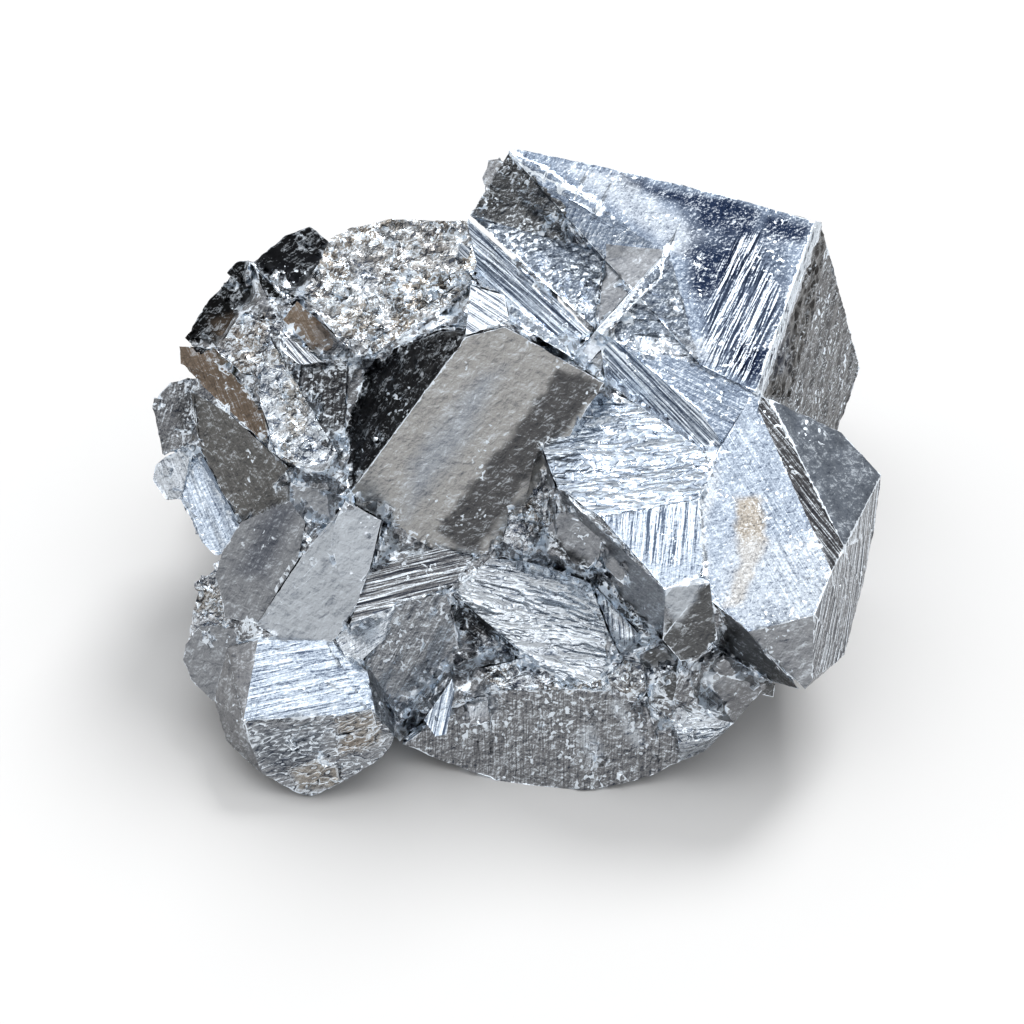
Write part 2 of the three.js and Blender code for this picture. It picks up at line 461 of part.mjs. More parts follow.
const crown = [
  crystal([crownTop]),
  crystal([crownRidge]),
  crystal([crownBlack], [3, -2, -12]),
  crystal([crownBlackLow], [5, -1, -12]),
  crystal([crownBack]),
  crystal([leaning([-26.3, 25.3, -12.4], [-0.4, 0.2], [-27.6, 25.2], [-28.7, 23.9], [-27.2, 22.6])],
    [3, -1, -8]),
  crystal([crownMid]),
  crystal([leaning([-29.5, 16.6, -8.4], [-0.35, 0.2], [-33.3, 16.6], [-33.2, 14.8], [-25.2, 11.8],
    [-25.0, 13.6])]),
  crystal([crownBrown]),
  crystal([crownWhite]),
  crystal([crownStrip]),
  crystal([crownGrey]),
  ...grains(crownTop, { count: 20, size: 1.2 }),
  ...grains(crownStrip, { count: 6, size: 0.9 }),
  ...grains(crownMid, { count: 4, size: 0.9 }),
  ...grains(crownBlack, { count: 4, size: 1.1 }),
  ...grains(crownBlackLow, { count: 4, size: 1.0 }),
  ...grains(crownGrey, { count: 3, size: 0.8 }),
  ...ridges(crownGrey, [0.1, 1], { spacing: 1.2, width: 0.5, height: 0.18 }),
];

// Blocks inside and behind, which show from the back and the sides
const hidden = [
  crystal([apart([-22, 16, -10], [18, 18, -12], [-23, -9, -7], [22, -10, -4])], [0, 0, -26], 0.85),
  block([30, 26, 24], [-8, 24, 11], [8, 6, 25]),
  block([24, 24, 18], [14, 22, 7], [-6, 10, -18]),
  block([18, 18, 16], [-16, 10, 7], [5, -12, 50]),
  block([24, 16, 8], [4, 3, 3.4], [0, 4, 12]),
  block([12, 12, 12], [-20, 34, 9], [20, 15, 40]),
  block([11, 11, 11], [14, 40, 7], [-15, 20, 10]),
  block([14, 13, 17], [-9, 21, 23], [10, -8, 15]),
  block([12, 12, 13], [-19, 21, 18], [-12, 14, 35]),
  block([12, 14, 12], [-2, 30, 17], [15, 5, 60]),
  block([10, 10, 10], [-26, 15, 13], [20, 25, 10]),
  block([10, 11, 10], [-21, 5, 6], [0, 10, 30]),
  block([12, 12, 13], [26, 15, 8], [10, -10, 25]),
];

const ground = solid(intoView(new THREE.BoxGeometry(GROUND_SLAB, GROUND_SLAB, GROUND_SLAB)
  .translate(0, 0, -GROUND_SLAB / 2)));
const joined = wasm.Manifold.union([
  ...backCube, ...saddle, ...rightBlock, ...plate, ...smallCube, ...upright, ...valley, ...ledge,
  ...foot, ...corner, ...lowerLeft, ...middle, ...leftSide, ...crown, ...hidden,
]).subtract(ground);
const stone = joined.decompose().sort((a, b) => b.volume() - a.volume())[0];

const mesh = stone.getMesh();
const geometry = new THREE.BufferGeometry()
  .setAttribute('position', new THREE.BufferAttribute(new Float32Array(mesh.vertProperties), 3))
  .setIndex(new THREE.BufferAttribute(new Uint32Array(mesh.triVerts), 1));
geometry.rotateX(THREE.MathUtils.degToRad(90 - VIEW_HEIGHT_ANGLE));
geometry.computeBoundingBox();
const outerMiddle = geometry.boundingBox.getCenter(new THREE.Vector3());
geometry.translate(-outerMiddle.x, -outerMiddle.y, MIDDLE_ABOVE_GROUND);

const pyrite = new THREE.MeshStandardMaterial({ color: 0x8f9196, roughness: 0.3, metalness: 1 });
const cluster = new THREE.Mesh(geometry, pyrite);
cluster.name = 'pyrite_cluster';

const group = new THREE.Group();
group.add(cluster);
export default group;
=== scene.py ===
# %% [markdown]
# # A pyrite cluster
# Pyrite, or fool's gold, grows as cubes and blocks that run into one another. This stone is one piece:
# bright striated tops, matt grey fronts, black and brown broken ends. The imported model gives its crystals.
# This lesson gives them the surface that the eye looks for: stepped striations, rough broken zones, glinting
# edges, and a metal finish for each kind of face.

import math

import bmesh
import bpy
import numpy as np
from mathutils import Euler, Matrix, Vector, noise
from mathutils.bvhtree import BVHTree
from mathutils.kdtree import KDTree


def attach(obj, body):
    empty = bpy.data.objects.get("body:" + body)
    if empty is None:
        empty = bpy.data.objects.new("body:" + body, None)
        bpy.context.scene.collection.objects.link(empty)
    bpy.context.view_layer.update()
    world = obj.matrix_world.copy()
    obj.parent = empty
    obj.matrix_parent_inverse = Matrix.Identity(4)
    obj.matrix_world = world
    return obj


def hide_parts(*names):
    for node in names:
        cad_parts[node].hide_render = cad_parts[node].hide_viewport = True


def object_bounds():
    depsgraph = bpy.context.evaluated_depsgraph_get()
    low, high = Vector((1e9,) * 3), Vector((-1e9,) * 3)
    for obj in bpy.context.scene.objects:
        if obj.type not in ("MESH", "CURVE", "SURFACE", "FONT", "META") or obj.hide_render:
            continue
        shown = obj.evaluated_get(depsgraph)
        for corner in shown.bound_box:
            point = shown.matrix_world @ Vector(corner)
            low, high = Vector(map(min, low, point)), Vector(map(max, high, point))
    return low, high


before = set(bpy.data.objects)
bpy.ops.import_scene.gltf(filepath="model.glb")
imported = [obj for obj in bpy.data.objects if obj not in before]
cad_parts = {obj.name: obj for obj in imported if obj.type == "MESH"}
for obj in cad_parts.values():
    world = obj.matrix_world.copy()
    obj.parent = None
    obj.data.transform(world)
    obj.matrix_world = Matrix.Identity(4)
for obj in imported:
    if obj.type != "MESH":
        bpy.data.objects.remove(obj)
cad_box = [list(corner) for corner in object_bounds()]
print("frame loaded:", sorted(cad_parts))

# %% [markdown]
# ## The viewpoint
# The stone was drawn from one viewpoint above its front. The same viewpoint places the camera here, and it
# also says where a face shows: millimetres right and up of the middle of the view. Finishes are laid on by
# those places, as a painter would point at them.

# %% Viewpoint and drawn places
MM = 0.001
RISE = math.radians(38)
DISTANCE = 570 * MM
MIDDLE = Vector((-0.2331, -15.1337, 20.7)) * MM
TOWARDS_EYE = Vector((0, -math.cos(RISE), math.sin(RISE)))
UP_IN_VIEW = Vector((0, math.sin(RISE), math.cos(RISE)))
EYE = MIDDLE + TOWARDS_EYE * DISTANCE


def drawn(points):
    """Where points of the stone show, in millimetres right and up of the middle of the view."""
    away = points - np.array(MIDDLE)
    near = 1 - away @ np.array(TOWARDS_EYE) / DISTANCE
    return np.stack([away[:, 0], away @ np.array(UP_IN_VIEW)], 1) / near[:, None] / MM


def across_view(right, up):
    """A direction as drawn, turned to a direction on the stone."""
    return Vector((right, 0, 0)) + UP_IN_VIEW * up


print("eye at", [round(c, 4) for c in EYE])

# %% [markdown]
# ## A working copy of the stone
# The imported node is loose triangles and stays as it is. The looks are made on a copy of it, whose corners
# are merged first, so that faces know their neighbours.

# %% Copy and merge
WELD = 0.02 * MM
ON_FLOOR = 0.01 * MM

stone = bmesh.new()
stone.from_mesh(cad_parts["pyrite_cluster"].data)
bmesh.ops.remove_doubles(stone, verts=stone.verts, dist=WELD)
bmesh.ops.dissolve_degenerate(stone, edges=stone.edges, dist=WELD / 2)
facet_layer = stone.faces.layers.int.new("facet")
print("points of the copy:", len(stone.verts))

# %% [markdown]
# ## A small cube in the foot
# The solid leaves one hole in its foot, through which the floor would show, where the photo shows closed
# stone. A turned cube closes it, mostly sunk between its neighbours and just clear of the floor. It is made
# in the same mesh, so every later step treats it as a crystal like the others.

# %% The small cube
CUBE_PLACE = Vector((15.4, -24.5, 3.15)) * MM
CUBE_TURN = Euler((0.5, 0.3, 0.6))
CUBE_SIZE = Vector((4.4, 4.4, 3.0)) * MM

turned = Matrix.LocRotScale(CUBE_PLACE, CUBE_TURN, CUBE_SIZE)
corners = bmesh.ops.create_cube(stone, size=1, matrix=turned)["verts"]
print("lowest point of the small cube:", round(min(vert.co.z for vert in corners) / MM, 2), "mm")

# %% [markdown]
# ## Facets
# Low ridges stand for the striations in the model. They are pressed flat again, because finer ones are cut
# below. Faces in one plane are then one facet, and each facet gets a number that its smaller faces inherit.

# %% Press the ridges flat and number the facets
SAME_PLANE = math.radians(0.7)
RIDGE_REACH = 0.4 * MM
RIDGED_FACET = 4 * MM * MM


def number_facets(bm):
    """Gives each group of joined faces in one plane its own number, and returns the groups."""
    for face in bm.faces:
        face[facet_layer] = -1
    groups = []
    for face in bm.faces:
        if face[facet_layer] >= 0:
            continue
        group, waiting = [], [face]
        face[facet_layer] = len(groups)
        while waiting:
            here = waiting.pop()
            group.append(here)
            for edge in here.edges:
                for other in edge.link_faces:
                    if other[facet_layer] < 0 and other.normal.dot(face.normal) > math.cos(SAME_PLANE):
                        other[facet_layer] = len(groups)
                        waiting.append(other)
        groups.append(group)
    return groups


def press_flat(bm):
    """Moves the crest of each low ridge down onto the facet that it stands on."""
    groups = number_facets(bm)
    size = [sum(face.calc_area() for face in group) for group in groups]
    normal = [max(group, key=lambda f: f.calc_area()).normal.copy() for group in groups]
    pressed = 0
    for vert in bm.verts:
        own = {face[facet_layer] for face in vert.link_faces}
        shared = None
        for edge in vert.link_edges:
            near = {face[facet_layer] for face in edge.other_vert(vert).link_faces} - own
            shared = near if shared is None else shared & near
        for facet in shared or ():
            foot = vert.link_edges[0].other_vert(vert).co
            height = (vert.co - foot).dot(normal[facet])
            if size[facet] > RIDGED_FACET and 0 < height < RIDGE_REACH:
                vert.co -= normal[facet] * height
                pressed += 1
                break
    bmesh.ops.dissolve_degenerate(bm, edges=bm.edges, dist=WELD / 2)
    bmesh.ops.dissolve_limit(bm, angle_limit=SAME_PLANE / 2, verts=bm.verts, edges=bm.edges)
    return pressed


stone.normal_update()
print("ridges pressed flat:", press_flat(stone))
facets = number_facets(stone)
facet_normal = [max(group, key=lambda f: f.calc_area()).normal.copy() for group in facets]
facet_size = [sum(face.calc_area() for face in group) / MM / MM for group in facets]
print("facets:", len(facets), "over 2 square mm:", sum(size > 2 for size in facet_size))

# %% [markdown]
# ## The edges of the notch
# The cube's broken notch has more faces in the photo than the model gives it. Their edges are drawn as
# lines, and a plane through the eye and each line cuts the facet that shows under it.

# %% Cut facets along drawn lines
NOTCH_EDGES = [((-0.4, 36.1), (15.6, 26.3)), ((8.3, 18.2), (15.6, 26.2)), ((9.1, 17.2), (16.2, 24.8)),
               ((18.8, 14.7), (15.9, 25.4)), ((9.4, 26.9), (15.6, 26.2))]


def in_view(right, up):
    """The point of the middle plane of the view that shows at a drawn place."""
    return MIDDLE + across_view(right * MM, up * MM)


def cut_as_drawn(bm, start, end):
    """Cuts the facet that shows under a drawn line along that line."""
    start, end = in_view(*start), in_view(*end)
    tree = BVHTree.FromBMesh(bm)
    bm.faces.ensure_lookup_table()
    hit = tree.ray_cast(EYE, ((start + end) / 2 - EYE).normalized())[2]
    number = bm.faces[hit][facet_layer]
    faces = [face for face in bm.faces if face[facet_layer] == number]
    parts = faces + list({e for f in faces for e in f.edges}) + list({v for f in faces for v in f.verts})
    bmesh.ops.bisect_plane(bm, geom=parts, dist=WELD / 2, plane_co=EYE,
                           plane_no=(start - EYE).cross(end - EYE).normalized())


for ends in NOTCH_EDGES:
    cut_as_drawn(stone, *ends)
print("faces after the cuts:", len(stone.faces))

# %% [markdown]
# ## Enough faces for the relief
# A metal face needs many small faces before it can carry steps and grains, but only where an eye can reach
# it. The stone is first cut in slices three ways, which leaves no long splinters. Then long edges are
# halved, the faces cut to triangles and turned to their best shape, finest on the side that the picture
# shows.

# %% Slice, then halve long edges
SLICE = 3 * MM
WHOLE_EDGE = 1.9 * MM
SEEN_EDGES = (1.0 * MM, 0.66 * MM)
LIFT = 0.02 * MM
NEAR_CORNER = 0.9
seen_layer = stone.faces.layers.int.new("seen")
facet_layer = stone.faces.layers.int["facet"]  # fetched again, because a new layer moves the others


def slice_across(bm, direction, step):
    """Cuts the whole stone by planes across one direction, a step apart."""
    reach = [vert.co.dot(direction) for vert in bm.verts]
    for k in range(math.floor(min(reach) / step) + 1, math.ceil(max(reach) / step)):
        parts = list(bm.faces) + list(bm.edges) + list(bm.verts)
        bmesh.ops.bisect_plane(bm, geom=parts, dist=WELD / 2, plane_co=direction * (k * step),
                               plane_no=direction)


def best_triangles(bm, faces):
    """Cuts faces to triangles, and turns the edges inside each facet to the rounder choice."""
    bmesh.ops.triangulate(bm, faces=[face for face in faces if len(face.verts) > 3])
    inner = [edge for edge in bm.edges if len(edge.link_faces) == 2
             and len({(f[facet_layer], f[seen_layer]) for f in edge.link_faces}) == 1]
    bmesh.ops.beautify_fill(bm, faces=bm.faces, edges=inner, method="ANGLE")


def halve(bm, longest, wanted, rounds=3):
    """Halves the edges of the wanted faces that are longer than `longest`."""
    for _ in range(rounds):
        edges = {edge for face in bm.faces if wanted(face) for edge in face.edges
                 if edge.calc_length() > longest}
        if not edges:
            break
        bmesh.ops.subdivide_edges(bm, edges=list(edges), cuts=1)
        best_triangles(bm, bm.faces)


def is_seen(tree, face):
    """Whether the eye sees a face, at its middle or near one of its corners."""
    middle = face.calc_center_median()
    if middle.z < ON_FLOOR or face.normal.dot(EYE - middle) < 0:
        return False
    for corner in [middle] + [middle.lerp(vert.co, NEAR_CORNER) for vert in face.verts]:
        start = corner + face.normal * LIFT
        if tree.ray_cast(start, (EYE - start).normalized(), DISTANCE)[0] is None:
            return True
    return False


for direction in (Vector((1, 0, 0)), UP_IN_VIEW, TOWARDS_EYE):
    slice_across(stone, direction, SLICE)
best_triangles(stone, stone.faces)
halve(stone, WHOLE_EDGE, lambda face: True)
tree = BVHTree.FromBMesh(stone)
for face in stone.faces:
    face[seen_layer] = is_seen(tree, face)
for longest in SEEN_EDGES:
    halve(stone, longest, lambda face: face[seen_layer])
bmesh.ops.delete(stone, geom=[edge for edge in stone.edges if not edge.link_faces], context="EDGES")
bmesh.ops.delete(stone, geom=[vert for vert in stone.verts if not vert.link_faces], context="VERTS")
stone.normal_update()
print("faces:", len(stone.faces), "seen:", sum(face[seen_layer] for face in stone.faces))

# %% [markdown]
# ## Kinds of face
# Nine finishes cover the stone. Striated, bright and stepped faces grew that way: in fine steps, nearly
# smooth, or in ledges. Satin, fibrous and grainy faces are breaks. A crust is a crowd of tiny cubes. A
# tarnished face is nearly black, partly from tarnish and partly from painted dark reflection, and a stained
# one carries a brown film of iron oxide. Each face of the picture is named with its finish, its colour, the
# direction of its lines and its outline as drawn, in millimetres right and up of the middle of the view. A
# face's colour is partly its own and partly painted reflection: pale and blue where the face turns up to
# the light overhead, grey to black where it turns away. Where two outlines cover a place, the first one has
# it.

# %% Colours
# the pale, silver and blue colours stand partly for painted reflection of the light overhead, the dark blue
# for painted dark reflection, and the dark greys and near black partly for painted dark reflection; tan, clay
# and brown are stains of iron oxide
WHITE, PALE, SILVER = "#ecf3fb", "#cfdcec", "#bac7d8"
ASH, STEEL = "#b3b6bb", "#a0a1a4"
REFLECTED_BLUE, SLATE, IRON = "#9cabc0", "#7d8590", "#737475"
DUSK, DARK_BLUE_REFLECTION, BLACK, DRAB = "#5e5e60", "#2c3a56", "#161718", "#807f7d"
WARM, TAN, BROWN, PEARL = "#cdccca", "#c8beb0", "#8f7e6e", "#d3d5d9"
CLAY, MIST, NEAR_BLACK, UMBER = "#ac9986", "#848f9e", "#202124", "#413f3d"
print("shades run from", WHITE, "to", BLACK)

# %% Faces of the picture
# each face with its name, its finish, its colour (partly painted reflection), the direction of its lines, and
# its outline
FACES = [
    ("cube top", "bright", REFLECTED_BLUE, (6.0, 17.0), [(30.4, 29.1), (21.0, 31.8), (10.0, 34.4), (0.0, 36.5),
     (-0.5, 36.1), (15.6, 26.2), (18.8, 14.7), (24.4, 12.0)]),
    ("cube side edge", "tarnished", UMBER, (3.0, 12.0), [(31.2, 28.8), (31.7, 28.2), (30.2, 19.8),
     (27.8, 11.5), (25.2, 11.6)]),
    ("cube bevel", "striated", WHITE, (6.0, 17.0), [(30.3, 29.2), (31.4, 29.2), (25.3, 11.6),
     (24.3, 12.0)]),
    ("cube side", "fibrous", DUSK, (3.0, 12.0), [(31.2, 29.0), (34.6, 14.4), (32.9, 7.8), (25.0, 11.8)]),
    ("cube wing", "grainy", MIST, (1.0, -0.1), [(15.6, 26.2), (18.8, 14.7), (8.8, 17.9), (9.4, 17.9)]),
    ("notch ledge", "bright", REFLECTED_BLUE, (12.6, -9.3), [(-0.4, 36.2), (3.0, 34.6), (9.0, 30.6),
     (15.6, 26.3), (12.0, 27.4), (4.0, 31.6)]),
    ("notch dark", "grainy", IRON, (1.0, 0.2), [(-0.4, 36.0), (-4.2, 29.7), (5.5, 27.0),
     (5.2, 31.0)]),
    ("notch pale", "grainy", MIST, (1.0, 0.2), [(-4.2, 29.7), (8.3, 18.2), (9.3, 24.0), (9.3, 26.2),
     (5.5, 27.0)]),
    ("notch smooth", "satin", ASH, (1.0, 0.6), [(9.5, 26.9), (15.6, 26.2), (8.3, 18.2), (9.2, 24.0)]),
    ("notch bevel", "bright", WHITE, (7.0, 7.6), [(15.6, 26.2), (16.2, 24.8), (9.1, 17.2),
     (8.1, 18.0)]),
    ("notch knob", "grainy", PEARL, (1.0, 1.0), [(-1.2, 35.8), (-2.6, 35.4), (-3.2, 33.4), (-2.7, 31.7),
     (-1.0, 33.0)]),
    ("band below notch", "striated", SILVER, (12.5, -11.5), [(-4.4, 29.6), (8.1, 17.9), (6.3, 15.7),
     (0.9, 20.6), (-6.5, 25.5)]),
    ("white bar", "satin", WHITE, (1.0, 1.0), [(8.3, 18.2), (10.0, 17.5), (7.3, 14.4), (6.1, 15.4)]),
    ("saddle pale", "bright", REFLECTED_BLUE, (11.0, -7.0), [(25.0, 12.0), (18.8, 14.7), (12.8, 16.0),
     (10.0, 17.5), (12.8, 14.0), (16.8, 10.2), (20.8, 7.2), (24.3, 8.7)]),
    ("saddle striped", "striated", SILVER, (11.0, -10.3), [(10.0, 17.5), (12.8, 14.0), (18.8, 10.2),
     (21.0, 7.2), (20.0, 5.0), (12.8, 10.7), (9.3, 13.2), (8.6, 16.7)]),
    ("block top", "bright", SILVER, (4.0, -9.0), [(24.0, 11.8), (20.6, 6.2), (18.6, 1.0), (19.3, -5.8),
     (19.8, -8.8), (23.6, -12.0), (26.8, -11.2), (30.3, -10.3), (32.0, -6.3), (23.6, 7.2)]),
    ("block band", "striated", DUSK, (9.0, -17.2), [(23.8, 12.0), (25.8, 11.4), (33.3, -3.6),
     (32.0, -6.2), (23.4, 7.4)]),
    ("block right", "satin", SLATE, (7.5, -15.0), [(25.8, 11.4), (33.3, -3.6), (37.1, 3.7),
     (33.0, 8.2)]),
    ("block side", "striated", STEEL, (-2.6, -10.0), [(37.2, 3.8), (33.3, -3.8), (32.0, -6.4),
     (30.2, -10.4), (29.2, -17.6), (30.1, -18.0), (33.3, -14.3), (35.2, -7.8)]),
    ("block front", "satin", ASH, (1.0, 0.2), [(23.6, -12.0), (30.3, -10.3), (29.3, -17.9),
     (27.0, -16.4)]),
    ("block under", "satin", IRON, (1.0, -0.8), [(19.8, -8.8), (23.6, -12.0), (29.0, -17.9),
     (24.8, -17.2), (20.0, -13.8)]),
    ("plate upper", "stepped", PALE, (1.0, 0.1), [(20.2, 4.2), (18.8, 6.4), (14.3, 9.7), (12.5, 10.9),
     (8.8, 12.4), (6.3, 11.2), (2.9, 6.5), (3.7, 4.8), (4.4, 2.5), (8.8, -0.6), (18.8, 1.2)]),
    ("plate lower", "bright", PALE, (0.12, 1.0), [(18.8, 1.4), (8.8, -0.5), (10.8, -1.8),
     (15.3, -7.8), (18.8, -6.6), (19.3, -5.3), (18.5, -1.8)]),
    ("plate side", "satin", ASH, (1.0, -0.9), [(4.4, 2.5), (8.8, -0.6), (15.3, -7.8), (15.5, -12.5),
     (14.0, -12.6), (8.8, -6.8), (4.4, -2.4), (2.9, 6.5)]),
    ("plate lumps", "satin", PEARL, (1.0, 0.3), [(4.8, 0.5), (3.4, -1.8), (5.8, -4.9), (7.6, -5.9),
     (8.8, -4.6), (8.9, -1.8), (6.8, 0.3)]),
    ("small cube", "satin", IRON, (1.0, 0.4), [(19.8, -7.0), (20.6, -12.8), (18.8, -14.8),
     (16.8, -15.2), (15.0, -12.8), (16.3, -9.0)]),
    ("small cube top", "satin", WHITE, (1.0, 0.3), [(15.3, -7.3), (18.8, -6.3), (19.4, -7.4),
     (16.4, -11.4), (15.2, -9.0)]),
    ("upright face", "satin", WARM, (12.0, 11.0), [(-0.7, 18.6), (9.3, 12.9), (4.3, 6.2), (-1.2, -3.3),
     (-3.7, -4.8), (-8.2, -3.6), (-16.7, 1.4), (-4.7, 17.5)]),
    ("upright side", "tarnished", NEAR_BLACK, (1.0, 1.0), [(-4.7, 17.6), (-16.7, 1.4), (-16.8, 4.2),
     (-16.6, 14.4), (-14.2, 15.4), (-7.2, 18.4)]),
    ("upright tip", "striated", WHITE, (1.0, -0.8), [(-4.2, 22.8), (-0.7, 21.7), (-0.2, 19.2),
     (-4.7, 17.6)]),
    ("ledge behind tip", "grainy", SILVER, (1.0, -0.6), [(-0.7, 21.5), (-0.2, 19.2), (6.1, 15.3),
     (8.1, 17.9), (0.9, 20.6)]),
    ("valley", "crust", PEARL, (1.0, 0.8), [(3.0, 5.4), (4.4, 2.5), (4.4, -2.4), (1.8, -4.8),
     (-2.2, -4.6), (-3.7, -4.7), (-1.2, -3.3)]),
    ("ledge top", "stepped", WHITE, (1.0, -0.25), [(-6.2, -7.8), (-2.2, -4.5), (1.8, -5.0), (6.3, -6.6),
     (7.8, -7.0), (10.0, -12.8), (9.6, -15.6), (8.8, -17.0), (5.8, -17.0), (2.8, -15.6),
     (-1.2, -12.3)]),
    ("ledge right", "striated", PEARL, (0.1, -1.0), [(7.8, -6.8), (12.8, -12.3), (12.4, -14.8),
     (10.8, -14.6), (9.2, -10.6)]),
    ("foot left", "fibrous", STEEL, (0.04, 1.0), [(7.3, -28.2), (4.4, -27.3), (-1.2, -27.2),
     (-5.2, -25.5), (-7.2, -25.1), (-11.4, -23.2), (-7.2, -22.0), (-4.7, -19.0), (-1.2, -17.9),
     (7.3, -17.7)]),
    ("foot right", "fibrous", STEEL, (0.02, 1.0), [(7.3, -28.2), (9.8, -27.7), (13.8, -26.7),
     (16.9, -25.2), (16.4, -22.0), (12.8, -18.8), (9.8, -17.8), (7.3, -17.7)]),
    ("foot slope", "crust", ASH, (1.0, -0.3), [(-1.2, -17.9), (9.8, -17.8), (11.6, -15.0),
     (2.0, -14.4), (-3.6, -12.0), (-3.6, -15.6)]),
    ("foot dark", "fibrous", DUSK, (1.0, -0.6), [(0.6, -13.9), (-5.6, -9.0), (-5.6, -14.0),
     (-5.8, -17.6), (-4.7, -19.2), (-1.2, -18.0)]),
    ("foot end", "satin", STEEL, (1.0, 0.35), [(20.5, -13.8), (25.4, -16.8), (25.2, -17.8),
     (22.3, -21.1), (16.3, -19.1), (17.8, -16.0)]),
    ("foot end low", "stepped", WHITE, (1.0, 0.2), [(16.3, -19.2), (22.4, -21.1), (19.8, -23.4),
     (16.8, -25.2), (16.4, -22.0)]),
    ("shard left", "striated", PALE, (0.2, 1.0), [(-6.0, -16.4), (-5.7, -17.9), (-6.5, -22.5),
     (-7.9, -22.7), (-9.1, -20.8)]),
    ("corner top", "bright", PALE, (1.0, 0.22), [(-17.9, -12.8), (-16.7, -14.6), (-14.4, -16.0),
     (-13.7, -18.8), (-13.7, -20.0), (-17.7, -21.0), (-26.9, -20.8), (-26.6, -17.8), (-25.4, -12.7),
     (-22.0, -14.0)]),
    ("corner front", "stepped", ASH, (1.0, 0.3), [(-17.7, -21.0), (-13.7, -20.0), (-11.7, -22.3),
     (-11.9, -23.5), (-13.2, -25.0), (-18.2, -28.0), (-20.0, -28.7), (-21.2, -28.5), (-25.2, -26.5),
     (-26.2, -23.3), (-26.9, -20.9)]),
    ("corner side", "satin", STEEL, (-0.2, 1.0), [(-25.4, -12.7), (-28.6, -13.4), (-29.2, -17.6),
     (-30.1, -18.8), (-28.9, -22.8), (-25.4, -26.2), (-26.2, -23.3), (-26.9, -20.9),
     (-26.6, -17.8)]),
    ("tan face", "satin", WHITE, (1.0, 0.75), [(-16.7, 1.0), (-21.5, -5.0), (-25.6, -11.3),
     (-21.2, -14.0), (-17.7, -12.8), (-15.7, -9.8), (-14.2, -5.8), (-13.2, -0.8)]),
    ("tan face, blue part", "satin", SILVER, (0.3, 1.0), [(-16.7, 1.2), (-13.0, -0.8), (-14.2, -5.8),
     (-15.0, -7.0), (-17.2, -6.6), (-18.2, -3.4), (-17.7, -0.8)]),
    ("whorled face", "satin", ASH, (0.55, 1.0), [(-22.2, 1.2), (-27.2, -1.0), (-29.0, -3.8),
     (-29.7, -6.3), (-28.7, -10.6), (-25.5, -11.2), (-21.4, -4.8), (-20.6, -1.0)]),
    ("above the tan face", "satin", ASH, (0.2, 1.0), [(-22.2, 3.4), (-16.6, 1.8), (-17.8, -3.2),
     (-20.8, -4.8), (-22.6, -1.0)]),
    ("left strip", "crust", PEARL, (0.3, 1.0), [(-28.7, -4.4), (-31.2, -6.8), (-32.2, -9.8),
     (-32.7, -12.8), (-31.2, -13.0), (-27.2, -10.4), (-27.2, -6.0)]),
    ("left lump", "satin", ASH, (0.3, 1.0), [(-27.7, -11.6), (-31.2, -11.2), (-32.9, -13.2),
     (-33.1, -14.8), (-32.4, -16.8), (-30.0, -19.0), (-28.6, -17.6), (-27.6, -14.0)]),
    ("band of lines", "striated", STEEL, (1.0, 0.36), [(-14.4, -5.6), (-11.7, -4.0), (-7.2, -3.2),
     (-3.4, -4.2), (-5.8, -7.4), (-11.7, -9.0), (-16.2, -11.2), (-15.4, -8.8)]),
    ("rough square", "bright", WHITE, (1.0, 0.5), [(-17.7, -12.7), (-16.2, -11.0), (-11.5, -9.1),
     (-12.7, -12.8), (-15.0, -14.8), (-16.7, -14.4)]),
    ("fan face", "fibrous", ASH, (0.5, 1.0), [(-11.7, -9.0), (-6.3, -8.0), (-5.3, -12.8),
     (-5.4, -14.8), (-8.7, -20.6), (-11.2, -23.2), (-11.9, -22.3), (-13.4, -18.3), (-15.0, -15.3),
     (-12.7, -12.8)]),
    ("left smooth", "satin", DRAB, (0.6, -1.0), [(-23.9, 5.7), (-28.7, 10.2), (-32.3, 12.4),
     (-31.3, 6.2), (-27.2, -1.4), (-24.4, 2.0), (-22.3, 4.4)]),
    ("left brown", "stained", BROWN, (0.6, -1.0), [(-23.9, 6.0), (-25.0, 10.4), (-27.7, 13.6),
     (-29.7, 15.1), (-33.0, 14.8), (-31.0, 12.6)]),
    ("left pale", "bright", PALE, (0.5, -1.0), [(-27.0, -1.5), (-28.4, -4.0), (-29.9, -4.6),
     (-31.1, -3.3), (-31.4, -0.8), (-33.2, 1.2), (-31.9, 7.0)]),
    ("left pale edge", "bright", WHITE, (0.5, -1.0), [(-31.9, 7.0), (-34.9, 5.5), (-35.9, 4.7),
     (-36.2, 3.2), (-34.7, 1.0), (-33.0, 1.2)]),
    ("left knob", "fibrous", STEEL, (0.3, 1.0), [(-32.0, 6.8), (-32.3, 13.6), (-34.2, 13.2),
     (-35.6, 11.7), (-36.2, 10.4), (-35.7, 8.2), (-35.0, 5.7)]),
    ("crown top", "crust", WARM, (1.0, 0.4), [(-4.2, 22.5), (-3.4, 25.0), (-4.4, 29.4), (-12.4, 29.6),
     (-16.6, 28.5), (-18.2, 27.4), (-21.2, 21.5), (-16.8, 16.6), (-14.0, 16.2)]),
    ("crown ridge", "satin", ASH, (10.0, 7.0), [(-14.2, 15.4), (-3.6, 22.9), (-4.2, 23.8),
     (-14.8, 16.8)]),
    ("crown black", "tarnished", NEAR_BLACK, (1.0, 0.5), [(-20.2, 28.9), (-18.4, 27.4), (-18.6, 25.2),
     (-21.2, 22.7), (-23.7, 22.5), (-25.2, 23.4), (-26.2, 25.2), (-22.7, 27.9)]),
    ("crown black low", "tarnished", BLACK, (1.0, 0.8), [(-26.2, 25.2), (-28.4, 23.9), (-31.4, 20.2),
     (-33.1, 17.4), (-31.2, 15.7), (-29.7, 16.6), (-27.4, 20.2), (-26.2, 22.2)]),
